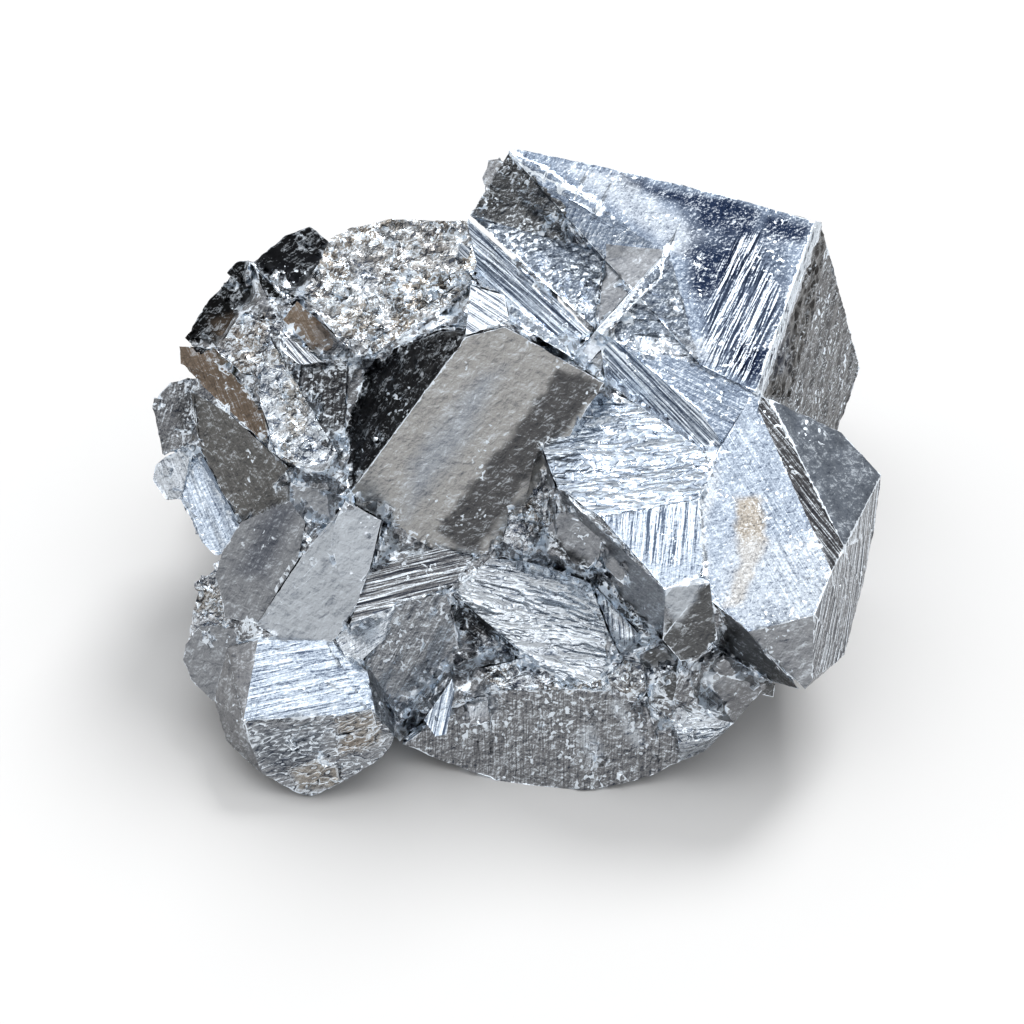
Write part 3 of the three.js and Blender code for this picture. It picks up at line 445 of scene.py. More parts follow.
    ("crown back", "satin", BLACK, (1.0, 0.5), [(-24.7, 21.4), (-26.2, 25.4), (-27.8, 25.3),
     (-28.9, 23.9), (-26.2, 22.2), (-23.8, 22.6), (-22.4, 21.2)]),
    ("crown mid", "crust", PEARL, (0.6, 1.0), [(-22.7, 20.2), (-24.7, 21.6), (-27.2, 20.0),
     (-29.7, 16.2), (-27.2, 13.9), (-25.0, 13.2), (-23.0, 15.0)]),
    ("crown brown", "stained", CLAY, (0.6, -1.0), [(-21.5, 21.2), (-16.7, 16.7), (-17.6, 15.6),
     (-19.4, 15.6), (-23.0, 19.2)]),
    ("crown white", "striated", ASH, (0.8, -1.0), [(-23.2, 18.2), (-21.6, 17.2), (-18.8, 15.0),
     (-21.2, 14.6), (-23.2, 16.2)]),
    ("crown strip", "crust", WHITE, (0.3, -1.0), [(-24.2, 17.6), (-23.0, 15.2), (-21.5, 11.2),
     (-20.5, 7.0), (-17.4, 5.9), (-18.7, 4.7), (-21.2, 4.2), (-23.7, 5.7), (-24.4, 8.4),
     (-25.6, 12.0)]),
    ("crown grey", "fibrous", DUSK, (0.1, 1.0), [(-22.9, 14.8), (-16.4, 15.2), (-16.7, 6.2),
     (-17.7, 5.5), (-20.4, 6.6), (-21.7, 11.0)]),
]


def outline_of(name):
    """The outline of a named face, as drawn."""
    return next(face[4] for face in FACES if face[0] == name)


print("faces named:", len(FACES))

# %% [markdown]
# ## Faces that the picture doesn't show
# The back and the sides are the same mineral. There each facet takes one of a few finishes by the direction
# that it faces, because the faces of one direction grew together and share their lines.

# %% Finishes for the other facets
UNSEEN = [
    ("back striated", "striated", PALE, (0.3, 1.0)),
    ("back satin", "satin", ASH, (1.0, 0.2)),
    ("back grainy", "grainy", STEEL, (0.6, 1.0)),
    ("back smooth", "bright", STEEL, (1.0, -0.4)),
    ("back lines", "striated", ASH, (1.0, 0.3)),
]
GAP = ("filled gap", "fibrous", STEEL, (0.6, 1.0))
named = FACES + UNSEEN + [GAP]
CROWD, GAP_KIND = len(FACES), len(named) - 1
AS_DRAWN = ("cube top", "cube side")  # their facets hold other named faces too, which keep their outlines
MAJORITY = 0.6


def inside(points, outline):
    """Which of the drawn points lie inside an outline."""
    x, y = points[:, 0], points[:, 1]
    crossed = np.zeros(len(points), bool)
    for (x0, y0), (x1, y1) in zip(outline, outline[1:] + outline[:1]):
        between = (y0 > y) != (y1 > y)
        if y0 != y1:
            crossed ^= between & (x < x0 + (y - y0) * (x1 - x0) / (y1 - y0))
    return crossed


def name_faces(bm):
    """Gives every small face the number of its named face, by outline and then by facet."""
    middles = np.array([face.calc_center_median() for face in bm.faces])
    seen = np.array([face[seen_layer] for face in bm.faces], bool)
    facet = np.array([face[facet_layer] for face in bm.faces])
    places = drawn(middles)
    kind = np.full(len(middles), -1)
    for number, (*_, outline) in enumerate(FACES):
        kind[seen & (kind < 0) & inside(places, outline)] = number
    for number in np.unique(facet):
        here = facet == number
        found = kind[here & (kind >= 0)]
        if not len(found):
            continue
        votes = np.bincount(found)
        most = votes.argmax()
        whole = votes.max() > MAJORITY * (here & seen).sum() and FACES[most][0] not in AS_DRAWN
        kind[here if whole else here & (kind < 0)] = most
    left = kind < 0
    looks = np.round(2 * np.array(facet_normal)[facet[left]]).astype(int)
    kind[left] = CROWD + (looks @ (3, 5, 7)) % len(UNSEEN)
    return kind, facet


kind, facet = name_faces(stone)
print("small faces by outline:", int((kind < CROWD).sum()), "by facet number:", int((kind >= CROWD).sum()))

# %% [markdown]
# ## Rough fill between the crystals
# Where crystals meet on the real stone, a narrow gap doesn't run down to black: small broken grains fill it.
# The solid has deep slots there. Points with little open sky round them are raised towards the eye, to about
# the mean height of the rims that show round them. They keep their places in the picture. The last pass
# lifts what is still shut in closer to the highest rim.

# %% How open each point is
RAYS, RAY_REACH = 26, 12 * MM


def openness(bm, wanted):
    """The share of open directions round each wanted point: low in a gap between crystals."""
    tree = BVHTree.FromBMesh(bm)
    turn = math.pi * (3 - math.sqrt(5))
    rays = [Vector((math.cos(turn * k) * math.sqrt(1 - h * h), math.sin(turn * k) * math.sqrt(1 - h * h), h))
            for k, h in ((k, 1 - 2 * (k + 0.5) / RAYS) for k in range(RAYS))]
    free = np.ones(len(bm.verts))
    for vert in bm.verts:
        if wanted[vert.index]:
            start = vert.co + vert.normal * 4 * LIFT
            ahead = [ray for ray in rays if ray.dot(vert.normal) > 0.2]  # not those along the face
            hits = sum(tree.ray_cast(start, ray, RAY_REACH)[0] is not None for ray in ahead)
            free[vert.index] = 1 - hits / len(ahead)
    return free


print("openness looks", round(RAY_REACH / MM), "mm far in", RAYS, "directions")

# %% Fill the narrow gaps
ABOVE_FLOOR = 0.5 * MM
NEAREST = 0.3
FILLED = 0.25 * MM
PASSES = ((0.42, 0.12), (0.36, 0.12), (0.12, 0.6))  # openness of a gap, and the share of the highest rim


def fill_gaps(bm, free, shown, narrow, full, neighbours=24):
    """Raises the points of narrow gaps to the rims round them, as seen by the eye, and says how far."""
    points = np.array([vert.co for vert in bm.verts])
    places = drawn(points)
    height = (points - np.array(MIDDLE)) @ np.array(TOWARDS_EYE)
    gap = shown & (free < narrow) & (points[:, 2] > ABOVE_FLOOR)
    rims = np.flatnonzero(shown & ~gap)
    near = KDTree(len(rims))
    for number in rims:
        near.insert((*places[number], 0), number)
    near.balance()
    raised = np.zeros(len(points))
    for number in np.flatnonzero(gap):
        found = near.find_n((*places[number], 0), neighbours)
        weights = np.array([1 / (distance + NEAREST) ** 2 for _, _, distance in found])
        rim = height[[other for _, other, _ in found]]
        film = (1 - full) * rim @ weights / weights.sum() + full * rim.max()
        raised[number] = max(film - height[number], 0)
        vert = bm.verts[number]
        vert.co += (EYE - vert.co).normalized() * raised[number]
    return raised


stone.faces.index_update()
stone.verts.index_update()
stone.verts.ensure_lookup_table()
filled = np.zeros(len(stone.verts), bool)
for narrow, full in PASSES:
    shown = np.array([any(face[seen_layer] for face in vert.link_faces) for vert in stone.verts])
    raised = fill_gaps(stone, openness(stone, shown), shown, narrow, full)
    filled |= raised > FILLED
    print("openness under", narrow, "points raised:", int((raised > FILLED).sum()), "by up to",
          round(float(raised.max()) / MM, 1), "mm")
    stone.normal_update()
    tree = BVHTree.FromBMesh(stone)
    for face in stone.faces:
        face[seen_layer] = face[seen_layer] or is_seen(tree, face)
kind = np.array([GAP_KIND if all(filled[vert.index] for vert in face.verts) else number
                 for face, number in zip(stone.faces, kind)])
print("points raised in gaps:", int(filled.sum()))

# %% [markdown]
# ## Lines on each face
# Striations follow the crystal, so each face needs its own two directions: along its lines and across
# them. They go into a UV map in millimetres, and the finishes read it like cloth reads its weave.

# %% UV map of lines
def line_axes(normal, right, up):
    """Directions along and across the lines of a face."""
    along = across_view(right, up)
    along = (along - normal * along.dot(normal)).normalized()
    return along, normal.cross(along)


uv_layer = stone.loops.layers.uv.new("lines")
axes = {}
for number, face in enumerate(stone.faces):
    key = (facet[number], kind[number])
    if key not in axes:
        axes[key] = line_axes(facet_normal[facet[number]], *named[kind[number]][3])
    along, across = axes[key]
    # each facet starts 3 mm further on, so that neighbours don't repeat one pattern
    for loop in face.loops:
        loop[uv_layer].uv = (loop.vert.co.dot(along) / MM, loop.vert.co.dot(across) / MM + 3 * facet[number])
print("faces with their own lines:", len(axes))

# %% [markdown]
# ## Relief
# Each finish is worn below the crystal's ideal plane in its own way, by amounts in millimetres: long shallow
# steps along the lines, ledges, fibres, or turned cubes in a crust. Corners that two facets share are
# chipped a little more. The faces get their real shape from this, and not from bump alone.

# %% Depth of the relief
RELIEF = {"striated": 0.05, "bright": 0.05, "fibrous": 0.13, "stepped": 0.16, "satin": 0.03,
          "grainy": 0.14, "crust": 0.36, "tarnished": 0.20, "stained": 0.05}
CHIP = {"striated": 0.06, "bright": 0.08, "fibrous": 0.14, "stepped": 0.16, "satin": 0.10,
        "grainy": 0.16, "crust": 0.28, "tarnished": 0.24, "stained": 0.12}
WAVE = 0.06
LINE_LENGTH, LINE_PITCH = 9.0, 0.8
FIBRE_LENGTH, FIBRE_PITCH = 7, 1.7
STEP_LENGTH, STEP_PITCH = 5.0, 1.9
GRAIN = 0.75


def depth_at(vert, style, normal, along, across):
    """How deep a point of a face lies under the crystal's ideal plane, in millimetres."""
    place = vert.co / MM
    u, v = place.dot(along), place.dot(across)
    if style in ("striated", "bright"):
        step = noise.noise(Vector((u / LINE_LENGTH, v / LINE_PITCH, place.dot(normal))))
        return RELIEF[style] * (1 + 1.6 * step)
    if style == "fibrous":
        fold = noise.noise(Vector((u / FIBRE_LENGTH, v / FIBRE_PITCH, place.dot(normal))))
        return RELIEF[style] * (1 + 2 * fold + noise.noise(place * 1.3))
    if style == "stepped":
        v += 0.9 * noise.noise(place * 0.35)
        step = noise.noise(Vector((u / STEP_LENGTH, v / STEP_PITCH, place.dot(normal))))
        return RELIEF[style] * (1 + 2 * step + 0.5 * noise.noise(place * 1.2))
    if style in ("grainy", "crust", "tarnished"):
        turned = Vector((u + 0.4 * v, v - 0.4 * u, place.dot(normal))) / GRAIN
        return RELIEF[style] * (noise.cell(turned) + 0.5 * noise.noise(place * 0.9) + 0.4)
    return RELIEF[style] * (1 + noise.noise(place * 0.7))


print("finishes with relief:", len(RELIEF))

# %% How far each point moves
styles = np.array([entry[1] for entry in named])[kind]
moves = []
for vert in stone.verts:
    own = sorted({facet[face.index] for face in vert.link_faces})
    if vert.co.z < ON_FLOOR:
        moves.append(None)
        continue
    number = vert.link_faces[0].index
    along, across = axes[(facet[number], kind[number])]
    normal = facet_normal[facet[number]]
    depth = depth_at(vert, styles[number], normal, along, across)
    if filled[vert.index]:
        normal = vert.normal
    elif len(own) > 1:
        normal = sum((facet_normal[n] for n in own), Vector())
        normal.normalize()
        worn = sum(CHIP[styles[face.index]] for face in vert.link_faces) / len(vert.link_faces)
        depth = worn * (0.7 + 1.2 * noise.noise(vert.co / MM * 1.3))
    depth += WAVE * (0.5 + noise.noise(vert.co / MM * 0.25))
    moves.append(normal * -depth * MM)
print("deepest move:", round(max(move.length for move in moves if move is not None) / MM, 2), "mm")

# %% [markdown]
# ## Edges that glint
# A worn edge of metal catches the light whatever stands round it, so a highlight is painted along sharp
# edges. The amount comes from how sharp the edge is. The brightest edges of the photo are drawn as lines,
# each with its own strength.

# %% Distances to drawn lines
def from_segment(points, start, end):
    """Distance of drawn points to a straight line between two drawn points."""
    start, run = np.array(start), np.array(end) - np.array(start)
    part = np.clip(((points - start) @ run) / (run @ run), 0, 1)
    return np.linalg.norm(points - start - part[:, None] * run, axis=1)


def from_outline(points, outline):
    """Distance of drawn points to an outline: below zero inside it."""
    sides = zip(outline, outline[1:] + outline[:1])
    nearest = np.min([from_segment(points, *ends) for ends in sides], axis=0)
    return np.where(inside(points, outline), -nearest, nearest)


aside = from_segment(np.array([[1, 1]]), (0, 0), (2, 0))[0]
print("distance of (1, 1) from the line (0, 0) to (2, 0):", float(aside))

# %% Bright edges
# painted highlights along edges, each with its strength, and its line as drawn
BRIGHT_EDGES = [
    (2.4, [(30.6, 29.2), (24.5, 12.0)]),
    (1.6, [(-0.4, 36.1), (15.6, 26.3), (8.4, 18.0)]),
    (1.6, [(-4.2, 29.6), (8.1, 18.0), (10.0, 17.4)]),
    (2.0, [(16.2, 24.8), (9.1, 17.2), (6.4, 15.4)]),
    (1.6, [(19.8, 4.2), (18.9, 1.2), (18.5, -1.8), (19.4, -5.6), (18.4, -6.6), (15.3, -7.6)]),
    (1.8, [(-16.7, 1.4), (-10.6, 9.4), (-4.7, 17.5)]),
    (1.4, [(-4.7, 17.5), (-0.7, 18.6), (9.3, 12.9)]),
    (1.6, [(-1.2, -12.3), (2.8, -15.6), (5.8, -17.0), (9.0, -17.0)]),
    (1.5, [(23.8, 12.0), (25.8, 11.4), (33.3, -3.6), (37.1, 3.7)]),
    (1.4, [(30.3, -10.3), (32.0, -6.4), (33.3, -3.8)]),
    (1.6, [(-0.7, 21.6), (6.1, 15.3)]),
    (1.4, [(-20.4, 28.9), (-26.2, 25.2), (-31.4, 20.2)]),
]
EDGE_REACH = 0.8
SHARP = 0.35

edge_light = np.zeros(len(stone.verts))
for vert in stone.verts:
    bend = [edge.calc_face_angle_signed(0) for edge in vert.link_edges if len(edge.link_faces) == 2]
    edge_light[vert.index] = max(0, min(1, max(bend, default=0) / SHARP))
edge_places = drawn(np.array([vert.co for vert in stone.verts]))
on_edge = np.array([len({facet[face.index] for face in vert.link_faces}) > 1 for vert in stone.verts])
for strength, line in BRIGHT_EDGES:
    near = np.min([from_segment(edge_places, *ends) for ends in zip(line, line[1:])], axis=0)
    edge_light[(near < EDGE_REACH) & on_edge] = strength
print("points on bright edges:", int((edge_light > 1).sum()))

# %% [markdown]
# ## Move the points
# The faces of the notch slope down from their edges, which the flat facets of the model don't. That slope
# and the relief move the points together, and no point leaves the box of the CAD model.

# %% Slopes of the notch, and the move
# each with its slope, the depth where it ends in millimetres, and its outline
SLOPES = [
    (0.35, 2.2, [(-0.4, 36.0), (15.6, 26.2), (8.3, 18.2), (-4.0, 29.6)]),
    (0.25, 0.5, [(16.2, 24.8), (9.1, 17.2), (18.8, 14.7)]),
]
depths = np.zeros(len(stone.verts))
for slope, deepest, outline in SLOPES:
    within = -from_outline(edge_places, outline) * shown
    depths = np.maximum(depths, np.clip(slope * within, 0, deepest))
low, high = (Vector(corner) for corner in cad_box)
for vert, move in zip(stone.verts, moves):
    if move is None:
        continue
    moved = vert.co + move - TOWARDS_EYE * depths[vert.index] * MM
    vert.co = [min(max(c, a), b) for c, a, b in zip(moved, low, high)]
print("points moved:", sum(move is not None for move in moves))

# %% [markdown]
# ## Shade of each face
# Even one kind of face isn't one colour: some turned patches look dark blue, others nearly white, and
# these patches are painted reflections. The shade of every corner is kept as a colour attribute: the face's
# own colour, then patches and lines laid over it by their drawn places. Most patches are painted light:
# white highlights and reflections, dark blue reflections, and black shadow in gaps. The tan and brown ones
# are stains.

# %% Colours as light
def linear(code):
    """An sRGB hex colour as linear red, green and blue."""
    parts = [int(code[i:i + 2], 16) / 255 for i in (1, 3, 5)]
    return np.array([c / 12.92 if c <= 0.04045 else ((c + 0.055) / 1.055) ** 2.4 for c in parts])


print("silver grey as light:", linear(SILVER).round(3))

# %% Patches
# each with its colour, its strength, the width of its soft border in millimetres, and its outline:
# painted highlights, reflections and shadows, and stains
STAINS_AND_PAINTED_LIGHT = [
    # painted highlights on bright facets of the foot
    (WHITE, 0.8, 0.6, [(9.6, -19.0), (10.6, -18.8), (13.2, -22.6), (12.6, -24.0), (11.0, -21.6)]),
    (WHITE, 0.7, 0.6, [(6.6, -21.6), (8.0, -21.2), (9.0, -24.6), (7.6, -25.4)]),
    (WHITE, 0.6, 0.8, [(-3.4, -17.6), (-1.4, -17.2), (-2.0, -20.4), (-4.4, -20.2)]),
    # painted dark blue reflections on the cube's top, and a painted white reflection among them
    (DARK_BLUE_REFLECTION, 1.0, 1.0, [(11.0, 33.6), (20.0, 31.4), (24.5, 30.4), (23.8, 28.4), (17.0, 30.6), (11.5, 32.6)]),
    (DARK_BLUE_REFLECTION, 1.0, 0.9, [(18.6, 31.6), (24.6, 30.4), (24.0, 27.4), (22.0, 27.8), (19.0, 28.6)]),
    (DARK_BLUE_REFLECTION, 1.0, 1.2, [(17.4, 26.6), (22.4, 26.6), (23.2, 24.6), (19.0, 21.0), (17.6, 22.4)]),
    (DARK_BLUE_REFLECTION, 1.0, 1.0, [(24.6, 30.0), (30.0, 28.8), (29.4, 26.6), (25.2, 27.8)]),
    (DARK_BLUE_REFLECTION, 1.0, 0.8, [(22.6, 16.8), (26.0, 16.4), (24.8, 12.8), (22.0, 14.4)]),
    (WHITE, 0.6, 1.2, [(5.0, 34.6), (11.0, 33.6), (19.0, 27.6), (17.0, 25.6), (9.0, 31.4)]),
    (DARK_BLUE_REFLECTION, 0.6, 1.0, [(17.3, 32.0), (25.0, 30.2), (24.6, 23.4), (19.6, 23.0), (17.4, 25.4)]),
    (DARK_BLUE_REFLECTION, 0.5, 1.2, [(20.0, 27.9), (27.4, 28.2), (27.8, 14.0), (23.0, 12.8), (19.0, 16.0)]),
    # painted highlights
    (WHITE, 1.0, 0.4, outline_of("small cube top")),
    (WHITE, 1.0, 0.4, outline_of("white bar")),
    (WHITE, 0.9, 0.6, [(-17.4, -12.7), (-16.2, -11.3), (-11.8, -9.4), (-12.9, -12.8), (-15.0, -14.5),
     (-16.7, -14.2)]),
    (WHITE, 0.8, 0.5, outline_of("ledge right")),
    (WHITE, 0.6, 0.8, [(11.8, 17.4), (20.0, 17.2), (20.4, 15.0), (12.8, 15.8)]),
    (WHITE, 0.8, 0.7, [(20.0, 5.0), (19.9, 3.2), (19.0, 1.4), (18.6, -1.4), (19.3, -5.6), (20.0, -5.6),
     (19.2, -1.6), (20.0, 1.2), (21.0, 4.0)]),
    # a tan stain of iron oxide
    (TAN, 0.95, 0.6, [(22.4, 1.6), (24.8, 1.4), (25.6, -3.0), (24.2, -6.2), (22.6, -9.8), (21.4, -9.4),
     (22.6, -5.0)]),
    # a painted highlight on the lower part of the block's top
    (WHITE, 0.4, 1.2, [(21.8, -2.8), (30.6, -2.4), (32.0, -6.4), (30.4, -10.4), (23.6, -11.8), (20.2, -8.4)]),
    # painted shade on the right of the upright face, and a painted lighter reflection on its left
    (DUSK, 0.9, 0.5, [(4.8, 14.2), (9.3, 12.9), (3.4, 6.0), (-3.7, -4.4), (-7.6, -1.8), (-1.2, 6.2)]),
    (SILVER, 0.5, 2.0, [(-10.0, 5.0), (-4.0, 13.0), (-1.0, 14.5), (-4.6, 7.0), (-10.6, -0.5)]),
    # painted shadow under the plate's overhang and below the ledge's left edge
    (BLACK, 0.85, 0.5, [(0.8, -0.8), (7.8, -6.6), (12.8, -12.4), (13.6, -11.6), (8.6, -5.6), (3.4, -2.0)]),
    (BLACK, 0.6, 0.6, [(-6.0, -8.0), (0.8, -13.8), (-3.4, -11.6), (-3.6, -15.0)]),
    # a painted highlight on the ledge
    (WHITE, 0.8, 1.0, [(2.0, -13.6), (9.0, -12.4), (9.6, -15.6), (8.8, -17.0), (5.8, -17.0), (2.8, -15.6)]),
    # tan and brown stains of iron oxide on the corner's front
    (TAN, 0.7, 0.4, [(-17.7, -20.8), (-13.9, -20.2), (-12.9, -23.2), (-17.2, -24.4)]),
    (BROWN, 0.4, 0.6, [(-17.7, -22.8), (-13.9, -22.2), (-12.9, -23.2), (-17.2, -24.4)]),
    (TAN, 0.7, 0.4, [(-22.4, -25.6), (-19.4, -24.8), (-16.8, -25.4), (-17.6, -27.4), (-21.2, -27.6)]),
    # a darker slate grey patch on the corner's front
    (SLATE, 0.6, 1.0, [(-26.6, -21.6), (-18.4, -21.6), (-18.8, -24.0), (-23.0, -26.2), (-26.0, -24.0)]),
    # brown stains on the crown
    (BROWN, 0.35, 1.4, [(-14.0, 25.6), (-11.0, 27.0), (-8.6, 24.4), (-11.4, 21.4), (-14.6, 22.8)]),
    (BROWN, 0.4, 1.2, [(-9.6, 28.6), (-7.4, 28.8), (-6.4, 26.2), (-8.4, 24.8)]),
    # a painted highlight on the crown
    (WHITE, 0.6, 1.0, [(-18.6, 23.6), (-14.0, 24.6), (-12.8, 19.4), (-17.0, 17.8)]),
    # a brown stain
    (BROWN, 0.4, 0.8, [(-30.0, 19.4), (-27.4, 19.8), (-27.0, 16.4), (-29.6, 16.0)]),
    # a painted highlight on the crown's strip
    (WHITE, 0.8, 0.5, [(-20.4, 4.6), (-17.6, 6.0), (-18.8, 4.4), (-21.2, 3.9)]),
    # a darker patch on the left knob
    (BLACK, 0.5, 1.0, [(-33.2, 13.2), (-31.4, 13.0), (-31.6, 7.8), (-33.4, 8.2)]),
    # a painted highlight on the left strip
    (WHITE, 0.6, 0.6, [(-31.6, -7.0), (-29.6, -7.6), (-28.8, -10.8), (-30.6, -10.6)]),
    # a painted dark blue reflection on the whorled face
    (DARK_BLUE_REFLECTION, 0.5, 1.5, [(-24.0, 0.6), (-21.6, 0.6), (-24.6, -6.6), (-27.4, -6.0)]),
]
print("patches:", len(STAINS_AND_PAINTED_LIGHT))

# %% Where lines are stronger or weaker
# each with the strength of the lines, the width of its soft border, and its outline
LINED = [
    (3.5, 1.0, [(18.8, 1.4), (8.8, -0.5), (10.8, -1.8), (14.0, -5.0), (17.0, -5.0), (18.6, -2.0)]),
    (2.0, 1.0, [(-17.0, -13.0), (-13.7, -20.0), (-26.9, -20.8), (-25.4, -12.7)]),
    (0.55, 0.6, outline_of("block band")),
    (0.2, 1.0, [(30.0, 29.0), (0.0, 36.2), (15.0, 25.8), (17.6, 15.4), (24.2, 12.4)]),
    (5.0, 1.2, [(24.6, 27.6), (22.2, 27.0), (19.4, 20.0), (19.4, 15.0), (23.6, 13.0), (26.6, 21.0)]),
    (0.3, 1.5, [(22.6, 6.0), (20.0, 2.0), (19.5, -6.0), (23.6, -11.6), (27.0, -10.0), (25.0, -4.0)]),
]
print("places with their own strength of lines:", len(LINED))

# %% [markdown]
# ## The mesh and its attributes
# The shades are laid on darker than they show, because painted white glints and painted highlights on the
# edges lie over them. Between crystals, light comes from one bright face to the next many times. The render
# follows it only part of the way, so shut-in places are lifted towards white, a painted bounce of light. The
# strength of the lines goes along as the alpha.

# %% The mesh and its shade
DARKER_THAN_SHOWN = 0.66
LINED_UNSEEN = 0.6
BOUNCED = 0.5
HALF_OPEN = 0.5
TOO_DARK_TO_BOUNCE = 0.13

stone.normal_update()
mesh = bpy.data.meshes.new("pyrite_stone")
stone.to_mesh(mesh)
points = np.array([vert.co for vert in stone.verts])
corner_vert = np.zeros(len(mesh.loops), int)
mesh.loops.foreach_get("vertex_index", corner_vert)
corner_face = np.repeat(np.arange(len(mesh.polygons)), 3)
places = drawn(points)
shade = np.array([linear(entry[2]) for entry in named])[kind[corner_face]]
ragged = np.array([noise.noise(Vector(p) / MM * 0.8) for p in points])
for colour, strength, feather, outline in STAINS_AND_PAINTED_LIGHT:
    reach = from_outline(places, outline) + 0.5 * ragged
    weight = strength * np.clip(0.5 - reach / feather, 0, 1) * shown
    weight = weight[corner_vert][:, None]
    shade = shade * (1 - weight) + linear(colour) * weight
lined = np.where(shown, 1.0, LINED_UNSEEN)
for amount, feather, outline in LINED:
    weight = np.clip(0.5 - (from_outline(places, outline) + 0.4 * ragged) / feather, 0, 1) * shown
    lined = lined * (1 - weight) + amount * weight
shade = shade * DARKER_THAN_SHOWN
free = openness(stone, shown)
shut_in = np.clip(1.1 - free / HALF_OPEN, 0, 1)[corner_vert][:, None]
lift = BOUNCED * shut_in * np.clip(shade / TOO_DARK_TO_BOUNCE, 0, 1)
shade = shade + (linear(WHITE) - shade) * lift
print("share of the seen points in gaps:", round(float((free[shown] < HALF_OPEN).mean()), 3))
layer = mesh.color_attributes.new("shade", "FLOAT_COLOR", "CORNER")
layer.data.foreach_set("color", np.hstack([shade, lined[corner_vert][:, None]]).ravel())
# the strength of the painted highlight on each edge
edges = mesh.attributes.new("rim", "FLOAT", "POINT")
edges.data.foreach_set("value", edge_light)
print("corners shaded:", len(shade))

# %% [markdown]
# ## Finishes
# Pyrite is iron sulphide with the lustre of metal, so each finish is a metal with its default index of
# refraction. A smooth break, tarnish and most of all a film of iron oxide hide a part of that lustre, and
# these three are metallic by less than one. The nine differ in how their surface was made: growth steps, a
# break, a crust of cubes, tarnish, or iron stain. Each reads the shade, breaks it up with lines and grains
# at their real size in millimetres, whose lit and shaded sides are painted in, adds painted glints, and
# lifts the edges with a painted highlight. Roughness and amounts were then matched to the photo.

# %% Helpers that add nodes
def add(tree, kind, settings=None, **inputs):
    """Adds a node with its settings. Each input is a plain value, or the output of another node."""
    node = tree.nodes.new(kind)
    for name, value in (settings or {}).items():
        setattr(node, name, value)
    for name, value in inputs.items():
        socket = node.inputs[int(name[1:])] if name[0] == "_" else node.inputs[name.replace("_", " ")]
        if isinstance(value, bpy.types.NodeSocket):
            tree.links.new(value, socket)
        else:
            socket.default_value = value
    return node


def total(tree, base, parts):
    """Adds up outputs, each times its own amount, to a base value."""
    for output, amount in parts:
        node = add(tree, "ShaderNodeMath", {"operation": "MULTIPLY_ADD"}, _0=output, _1=amount, _2=base)
        base = node.outputs["Value"]
    return base


def times(tree, first, second):
    """Multiplies two values."""
    return add(tree, "ShaderNodeMath", {"operation": "MULTIPLY"}, _0=first, _1=second).outputs["Value"]


def ramp(tree, value, start, end, low=0.0, high=1.0):
    """Turns one range of values into another, and stays inside it."""
    return add(tree, "ShaderNodeMapRange", Value=value, From_Min=start, From_Max=end, To_Min=low,
               To_Max=high).outputs["Result"]


def pattern(tree, place, size, detail, roughness=0.5, distortion=0.0):
    """Noise with features of one size."""
    return add(tree, "ShaderNodeTexNoise", Vector=place, Scale=1 / size, Detail=detail, Roughness=roughness,
               Distortion=distortion).outputs["Fac"]


def tinted(tree, colour, tint):
    """Multiplies a colour by a tint."""
    return add(tree, "ShaderNodeVectorMath", {"operation": "MULTIPLY"}, _0=colour, _1=tint).outputs["Vector"]


def blend(tree, amount, first, second):
    """Goes from one colour to another as the amount goes from 0 to 1."""
    return add(tree, "ShaderNodeMix", {"data_type": "RGBA"}, _0=amount, _6=first, _7=second).outputs[2]


print("node helpers ready")

# %% Steps of growth, grains and painted glints
LIT_SHIFT = 0.1
CONTRAST = 6
SPECK = 0.5 * MM
SPECK_GROUP = 4.0 * MM


def growth_steps(tree, line):
    """Steps along the lines, read at two places a tenth of a millimetre apart."""
    on_face = add(tree, "ShaderNodeUVMap", {"uv_map": "lines"}).outputs["UV"]
    steps = []
    for shift in (0.0, LIT_SHIFT / line[1]):
        stretched = add(tree, "ShaderNodeMapping", Vector=on_face, Scale=(1 / line[0], 1 / line[1], 1.0),
                        Location=(0, shift, 0))
        steps.append(pattern(tree, stretched.outputs["Vector"], 1.0, 3.0, 0.65, 0.2))
    return steps


def broken_grains(tree, place, grain):
    """Grains, read at two places a tenth of a millimetre apart towards the lamp."""
    grains = []
    for shift in (0.0, LIT_SHIFT * MM):
        moved = add(tree, "ShaderNodeMapping", Vector=place, Location=(-0.4 * shift, 0.5 * shift, shift))
        grains.append(pattern(tree, moved.outputs["Vector"], grain * MM, 3.0, 0.6, 0.3))
    return grains


def painted_glint_specks(tree, place, specks):
    """Painted glints: bright specks that keep together in groups, and the noise that groups them."""
    dots = pattern(tree, place, SPECK, 0.7, distortion=0.3)
    dot = ramp(tree, dots, 0.66 - 0.08 * specks, 0.68 - 0.08 * specks)
    herd = pattern(tree, place, SPECK_GROUP, 1.5)
    group = ramp(tree, herd, 0.62 - 0.2 * specks, 0.68 - 0.2 * specks)
    return times(tree, dot, group), herd


print("lit sides are read", LIT_SHIFT, "mm apart, specks are", round(SPECK / MM, 1), "mm wide")

# %% The finish of a mineral face
# tints: painted shade on the dark sides of the relief, the film of iron oxide, and the white of painted
# glints and highlights
SHADOWED = (0.18, 0.21, 0.27)
RUSTY = (0.72, 0.60, 0.46)
GLINT = (0.84, 0.91, 0.985, 1)
LEDGES = 11
BLOTCH = 2.2 * MM
BUMP_STRENGTH = 0.8


